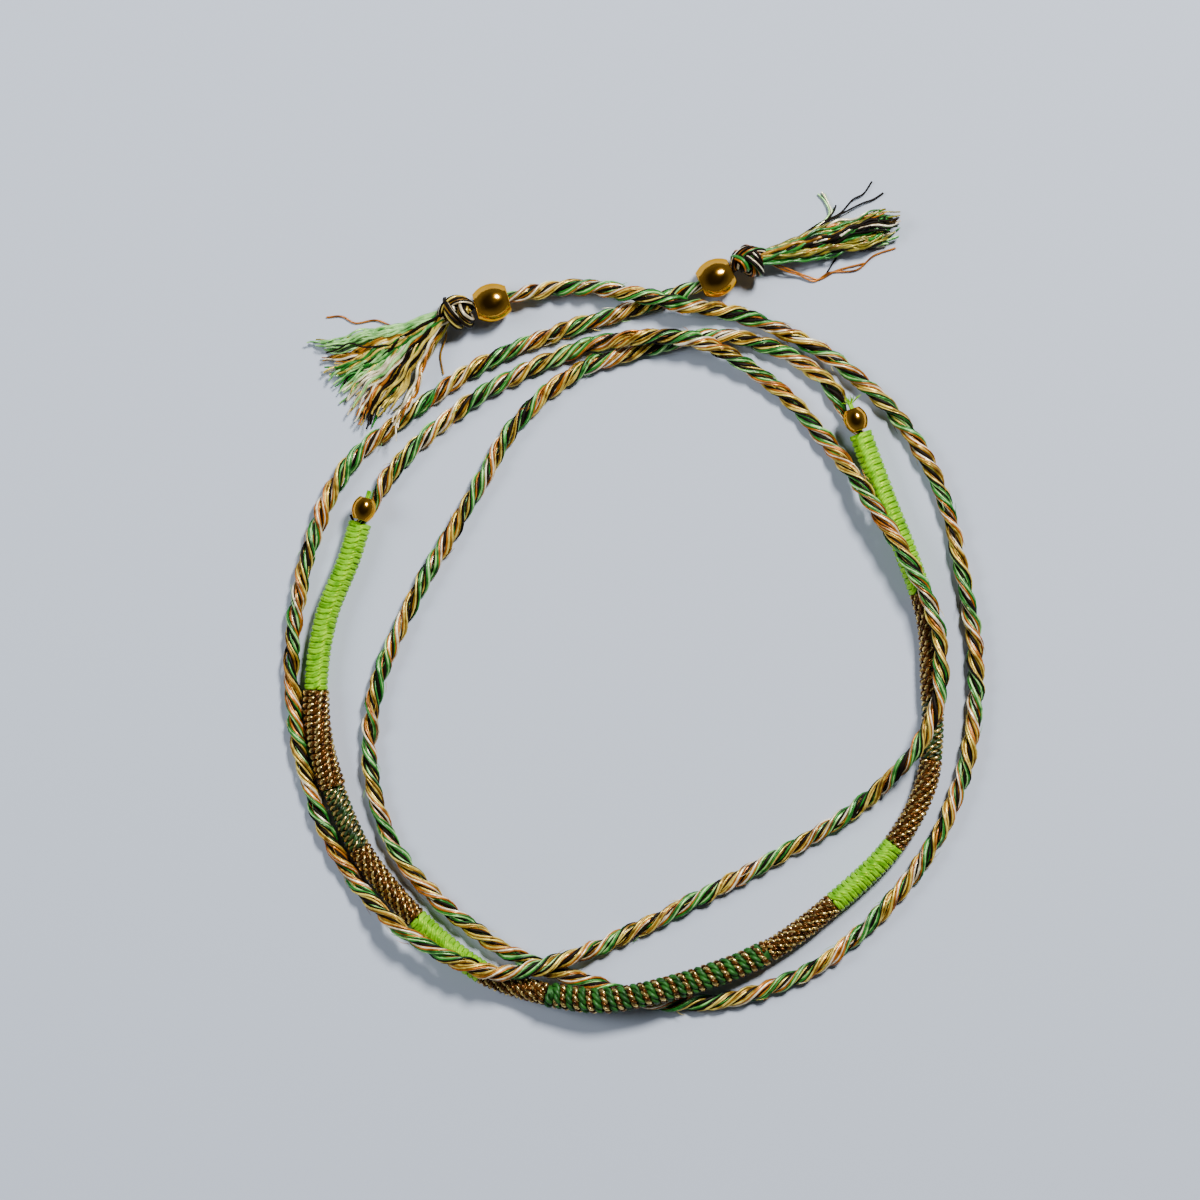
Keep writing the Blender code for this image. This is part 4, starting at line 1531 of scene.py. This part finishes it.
LEFT_STRAYS = (
    (Thread.COPPER, (
        (-21.0, 30.2, 0.7), (-23.6, 29.5, 0.3), (-26.0, 30.3, 0.2), (-28.2, 30.0, 0.15),
        (-29.6, 30.7, 0.15), (-31.2, 30.6, 0.15),
    )),
    (Thread.BLACK, (
        (-22.6, 28.2, 1.2), (-25.8, 27.5, 1.7), (-27.2, 27.4, 1.8), (-28.7, 27.8, 1.8),
        (-29.9, 27.2, 1.7), (-31.2, 26.8, 1.5),
    )),
    (Thread.GOLD, ((-18.6, 28.6, 0.8), (-19.2, 26.6, 0.2), (-18.9, 24.6, 0.15))),
)
RIGHT_STRAYS = (
    (Thread.COPPER, (
        (16.9, 35.5, 1.1), (18.6, 35.0, 0.5), (20.1, 34.4, 0.2), (21.7, 35.3, 0.2),
        (24.6, 35.6, 0.2), (26.4, 37.1, 0.2), (28.7, 37.9, 0.15),
    )),
    (Thread.COPPER, (
        (17.2, 35.7, 1.0), (19.4, 34.9, 0.4), (20.6, 34.6, 0.2), (22.4, 35.5, 0.2),
        (25.4, 36.3, 0.2),
    )),
    (Thread.BLACK, (
        (17.5, 38.4, 1.4), (20.9, 40.6, 0.8), (22.8, 41.5, 0.6), (24.2, 43.0, 0.4),
        (25.3, 43.6, 0.3), (26.2, 44.9, 0.2),
    )),
    (Thread.BLACK, ((21.0, 40.4, 0.9), (25.2, 42.6, 0.4), (26.3, 43.0, 0.3), (27.4, 43.7, 0.2))),
    (Thread.MINT_AND_SHEEN, (
        (18.6, 38.9, 1.3), (20.6, 40.3, 0.9), (21.7, 41.5, 0.5), (21.3, 42.7, 0.3),
        (20.5, 43.6, 0.2),
    )),
    (Thread.CREAM, (
        (18.7, 38.9, 1.3), (20.8, 40.4, 0.9), (21.9, 41.5, 0.4), (21.5, 42.8, 0.3),
        (20.9, 43.8, 0.2),
    )),
    (Thread.MINT_AND_SHEEN, (
        (18.8, 38.9, 1.2), (21.0, 40.4, 0.8), (22.0, 41.6, 0.3), (21.6, 42.6, 0.2),
        (21.2, 43.6, 0.15),
    )),
    (Thread.BLACK, ((20.0, 39.4, 1.2), (21.6, 41.0, 0.8), (22.2, 41.8, 0.5), (22.4, 42.4, 0.4))),
    (Thread.BLACK, ((19.0, 37.5, 1.0), (22.5, 37.2, 0.5), (22.0, 36.2, 0.2), (21.4, 35.2, 0.15))),
)


@dataclass(frozen=True)
class Tuft:
    """The fine fibres at a cut end of the neon thread."""

    count: int = 26
    spread: float = 0.4
    spread_height: float = 0.3
    root_share: float = 0.85
    root_width: float = 0.35 * MM
    length: tuple[float, float] = (0.3 * MM, 1.0 * MM)
    flare: tuple[float, float] = (0.4 * MM, 1.3 * MM)
    bend: float = 0.12 * MM
    radii: tuple[float, float, float] = (0.045 * MM, 0.04 * MM, 0.02 * MM)


@dataclass
class BeadThread:
    """The neon thread that holds a small bead, with a tuft or a cut thread end beside it."""

    name: str
    node: str
    cut_end: Route
    seed: int = 40
    cut_radius: float = 0.13 * MM
    tuft: Tuft = Tuft()
    half_length: float = 1.55 * MM
    strands: int = 3
    strand_radius: float = 0.15 * MM
    strand_shift: float = 0.14 * MM
    drawn_in: float = 0.8

    def add_tuft(self, strands: StrandSet, root: Vector, heading: Vector, side: Vector) -> None:
        """Adds the fibres of the tuft.

        Args:
            strands: Where the thread is gathered.
            root: Where the fibres begin.
            heading: The direction in which they point.
            side: The level direction across it.
        """
        chance = random.Random(self.seed)
        tuft = self.tuft
        for _ in range(tuft.count):
            spread = side * chance.gauss(0, tuft.spread)
            spread += Vector((0, 0, chance.gauss(0, tuft.spread_height)))
            start = root + spread * tuft.root_width
            tip = start + heading * chance.uniform(*tuft.length)
            tip += spread * chance.uniform(*tuft.flare)
            bend = start.lerp(tip, 0.5) + side * chance.gauss(0, tuft.bend)
            strands.add([start, bend, tip], tuft.radii, Thread.NEON)

    def build(self, effect: FibreEffect, heading: Vector) -> bpy.types.Object:
        """Lays the thread through its bead, and its tuft or cut end.

        Args:
            effect: The shared fibre group.
            heading: The direction of the bead's bore.

        Returns:
            The thread's piece.
        """
        low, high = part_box(self.node)
        centre = (low + high) / 2
        half = heading.normalized() * self.half_length
        up = Vector((0, 0, 1))
        side = heading.cross(up).normalized()
        strands = StrandSet(self.name, effect, Sides.FOUR)
        for number in range(self.strands):
            shift = around(side, up, 2 * math.pi * number / self.strands) * self.strand_shift
            line = [centre - half + shift, centre + shift * self.drawn_in, centre + half + shift]
            strands.add(line, [self.strand_radius] * len(line), Thread.NEON)
        if self.cut_end:
            line = [Vector(point) * MM for point in self.cut_end]
            strands.add(line, [self.cut_radius] * len(line), Thread.BLACK)
        else:
            self.add_tuft(strands, centre + half * self.tuft.root_share, heading, side)
        piece = strands.build()
        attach(piece, BODY)
        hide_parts(self.node)
        LOG.info("%s: %d faces", self.name, len(piece.data.polygons))
        return piece


# The cut thread end beside each small bead, in millimetres: the right one has a tuft instead
CUT_ENDS = {"left": ((-28.1, 8.7, 1.5), (-28.35, 9.3, 1.9), (-28.6, 9.8, 1.7)), "right": ()}


@dataclass(frozen=True)
class SoftLight:
    """A round soft light that faces the bracelet."""

    name: str
    place: tuple[float, float, float]
    size: float
    watts: float
    colour: Colour
    in_gloss: bool

    def build(self) -> None:
        """Hangs the light, which glossy pieces mirror only where in_gloss says so."""
        lamp = bpy.data.lights.new(self.name, "AREA")
        lamp.shape = "DISK"
        lamp.size = self.size
        lamp.energy = self.watts
        lamp.color = self.colour
        holder = add_object(self.name, lamp)
        holder.location = self.place
        holder.rotation_euler = (-Vector(self.place)).to_track_quat("-Z", "Y").to_euler()
        holder.visible_glossy = self.in_gloss


@dataclass
class Studio:
    """The plain floor, the soft lights and the camera straight above."""

    frame_width: float = 126.3 * MM
    camera_height: float = 0.6
    camera_x: float = -2.42 * MM
    camera_y: float = 0.86 * MM
    nearest: float = 0.01
    sensor: float = 36.0
    floor_reach: float = 2.0
    floor_colour: Colour = (0.435, 0.485, 0.58)
    floor_roughness: float = 0.9
    sky_side: Colour = (0.85, 0.89, 0.95)
    sky_overhead: Colour = (0.10, 0.10, 0.105)
    sky_heights: tuple[float, float] = (0.3, 0.8)
    sky_strength: float = 0.2
    lights: tuple[SoftLight, ...] = (
        SoftLight("key_light", (0.22, 0.34, 0.50), 0.14, 8.8, (1.0, 0.98, 0.95), True),
        SoftLight("fill_light", (-0.45, 0.10, 0.40), 0.3, 2.8, (0.92, 0.96, 1.0), False),
    )

    def floor(self) -> None:
        """Lays a wide plain floor under the bracelet."""
        shape = bmesh.new()
        bmesh.ops.create_grid(shape, x_segments=1, y_segments=1, size=self.floor_reach)
        mesh = bpy.data.meshes.new("studio_floor")
        shape.to_mesh(mesh)
        shape.free()
        material, _ = new_material("studio_floor", {
            "Base Color": (*self.floor_colour, 1.0), "Roughness": self.floor_roughness,
        })
        mesh.materials.append(material)
        add_object("studio_floor", mesh)

    def sky(self) -> None:
        """Makes a sky that is pale at the sides and dark overhead, where the camera hangs."""
        world = bpy.data.worlds.new("studio_sky")
        world.use_nodes = True
        tree, links = world.node_tree, world.node_tree.links
        place = add_node(tree, "ShaderNodeTexCoord")
        split = add_node(tree, "ShaderNodeSeparateXYZ")
        links.new(place.outputs["Generated"], split.inputs["Vector"])
        low, high = self.sky_heights
        height = add_node(tree, "ShaderNodeMapRange", {"From Min": low, "From Max": high})
        links.new(split.outputs["Z"], height.inputs["Value"])
        colours = {"A": (*self.sky_side, 1.0), "B": (*self.sky_overhead, 1.0)}
        shade = add_node(tree, "ShaderNodeMix", colours, data_type="RGBA")
        links.new(height.outputs["Result"], shade.inputs["Factor"])
        back = tree.nodes["Background"]
        back.inputs["Strength"].default_value = self.sky_strength
        links.new(shade.outputs["Result"], back.inputs["Color"])
        bpy.context.scene.world = world

    def camera(self) -> None:
        """Hangs the camera straight above, so that its frame is the photograph's."""
        lens = bpy.data.cameras.new("camera")
        lens.sensor_width = self.sensor
        lens.lens = self.sensor * self.camera_height / self.frame_width
        lens.clip_start = self.nearest
        holder = add_object("camera", lens)
        holder.location = (self.camera_x, self.camera_y, self.camera_height)
        bpy.context.scene.camera = holder

    def build(self) -> None:
        """Builds the floor, the lights, the sky and the camera."""
        self.floor()
        for light in self.lights:
            light.build()
        self.sky()
        self.camera()


def plan_heading(route: Sequence[tuple[float, float, Level]], at_start: bool) -> Vector:
    """The level direction in which a route leaves its end."""
    end, inner = (route[0], route[1]) if at_start else (route[-1], route[-2])
    return Vector((end[0] - inner[0], end[1] - inner[1], 0)).normalized()


@dataclass(frozen=True)
class EndStyle:
    """What one end of the bracelet is made of."""

    side: str
    knot_threads: tuple[Thread, ...]
    crown: float
    locks: tuple[Lock, ...]
    loose: tuple[Thread, ...]
    strays: tuple[Stray, ...]
    seed: int


LEFT_END = EndStyle(
    "left", LEFT_KNOT_THREADS, math.radians(40), LEFT_LOCKS, LEFT_LOOSE, LEFT_STRAYS, 5
)
RIGHT_END = EndStyle(
    "right", RIGHT_KNOT_THREADS, math.radians(140), RIGHT_LOCKS, RIGHT_LOOSE, RIGHT_STRAYS, 8
)


def build_end(effect: FibreEffect, style: EndStyle, heading: Vector) -> list[str]:
    """Builds the large bead, knot and tassel at one end of the bracelet.

    Args:
        effect: The shared fibre group.
        style: What the end is made of.
        heading: The direction in which the cord runs out.

    Returns:
        The names of the three pieces.
    """
    side = style.side
    bead = DrilledBead(
        f"brass_bead_large_{side}", f"large_bead_{side}", heading, SIZES.large_bead,
        SIZES.large_bead_length, SIZES.large_bead_end, SIZES.large_bore
    ).build()
    knot = KnottedEnd(
        f"cord_knot_{side}", f"knot_{side}", heading, style.knot_threads, style.crown, style.seed
    ).build(effect)
    tassel = Tassel(
        f"thread_tassel_{side}", f"tassel_{side}", f"knot_{side}", heading, style.locks,
        style.loose, style.strays, style.seed
    ).build(effect)
    return [bead.name, knot.name, tassel.name]


def build_small_bead(effect: FibreEffect, side: str, heading: Vector) -> None:
    """Builds the small bead and its thread at one end of the wound length.

    Args:
        effect: The shared fibre group.
        side: Which end it is, left or right.
        heading: The direction in which the wound length runs out.
    """
    level = Vector((heading.x, heading.y, 0)).normalized()
    DrilledBead(
        f"brass_bead_small_{side}", f"small_bead_{side}", level, SIZES.small_bead,
        SIZES.small_bead_length, SIZES.small_bead_end, SIZES.small_bore
    ).build()
    thread = BeadThread(f"neon_thread_{side}", f"bead_thread_{side}", CUT_ENDS[side])
    thread.build(effect, level)


def main() -> None:
    """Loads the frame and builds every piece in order."""
    logging.basicConfig(level=logging.INFO, format="%(name)s: %(message)s")
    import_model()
    Studio().build()
    effect = FibreEffect()
    left = build_end(effect, LEFT_END, plan_heading(CORD_ROUTE_LEFT_BEAD, True))
    right = build_end(effect, RIGHT_END, plan_heading(CORD_ROUTE_RIGHT_BEAD, False))
    TwistedCord(
        "twisted_cord_left_bead", "cord_left_bead", CORD_ROUTE_LEFT_BEAD, False, 100
    ).build(effect, left)
    TwistedCord(
        "twisted_cord_right_bead", "cord_right_bead", CORD_ROUTE_RIGHT_BEAD, True, 300
    ).build(effect, right)
    wrap = WoundLength()
    wrap.build(effect)
    last = wrap.start + sum(length for _, length, _ in WRAP_BANDS)
    build_small_bead(effect, "left", -wrap.track.heading(wrap.start))
    build_small_bead(effect, "right", wrap.track.heading(last))
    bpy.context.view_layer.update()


if __name__ == "__main__":
    main()
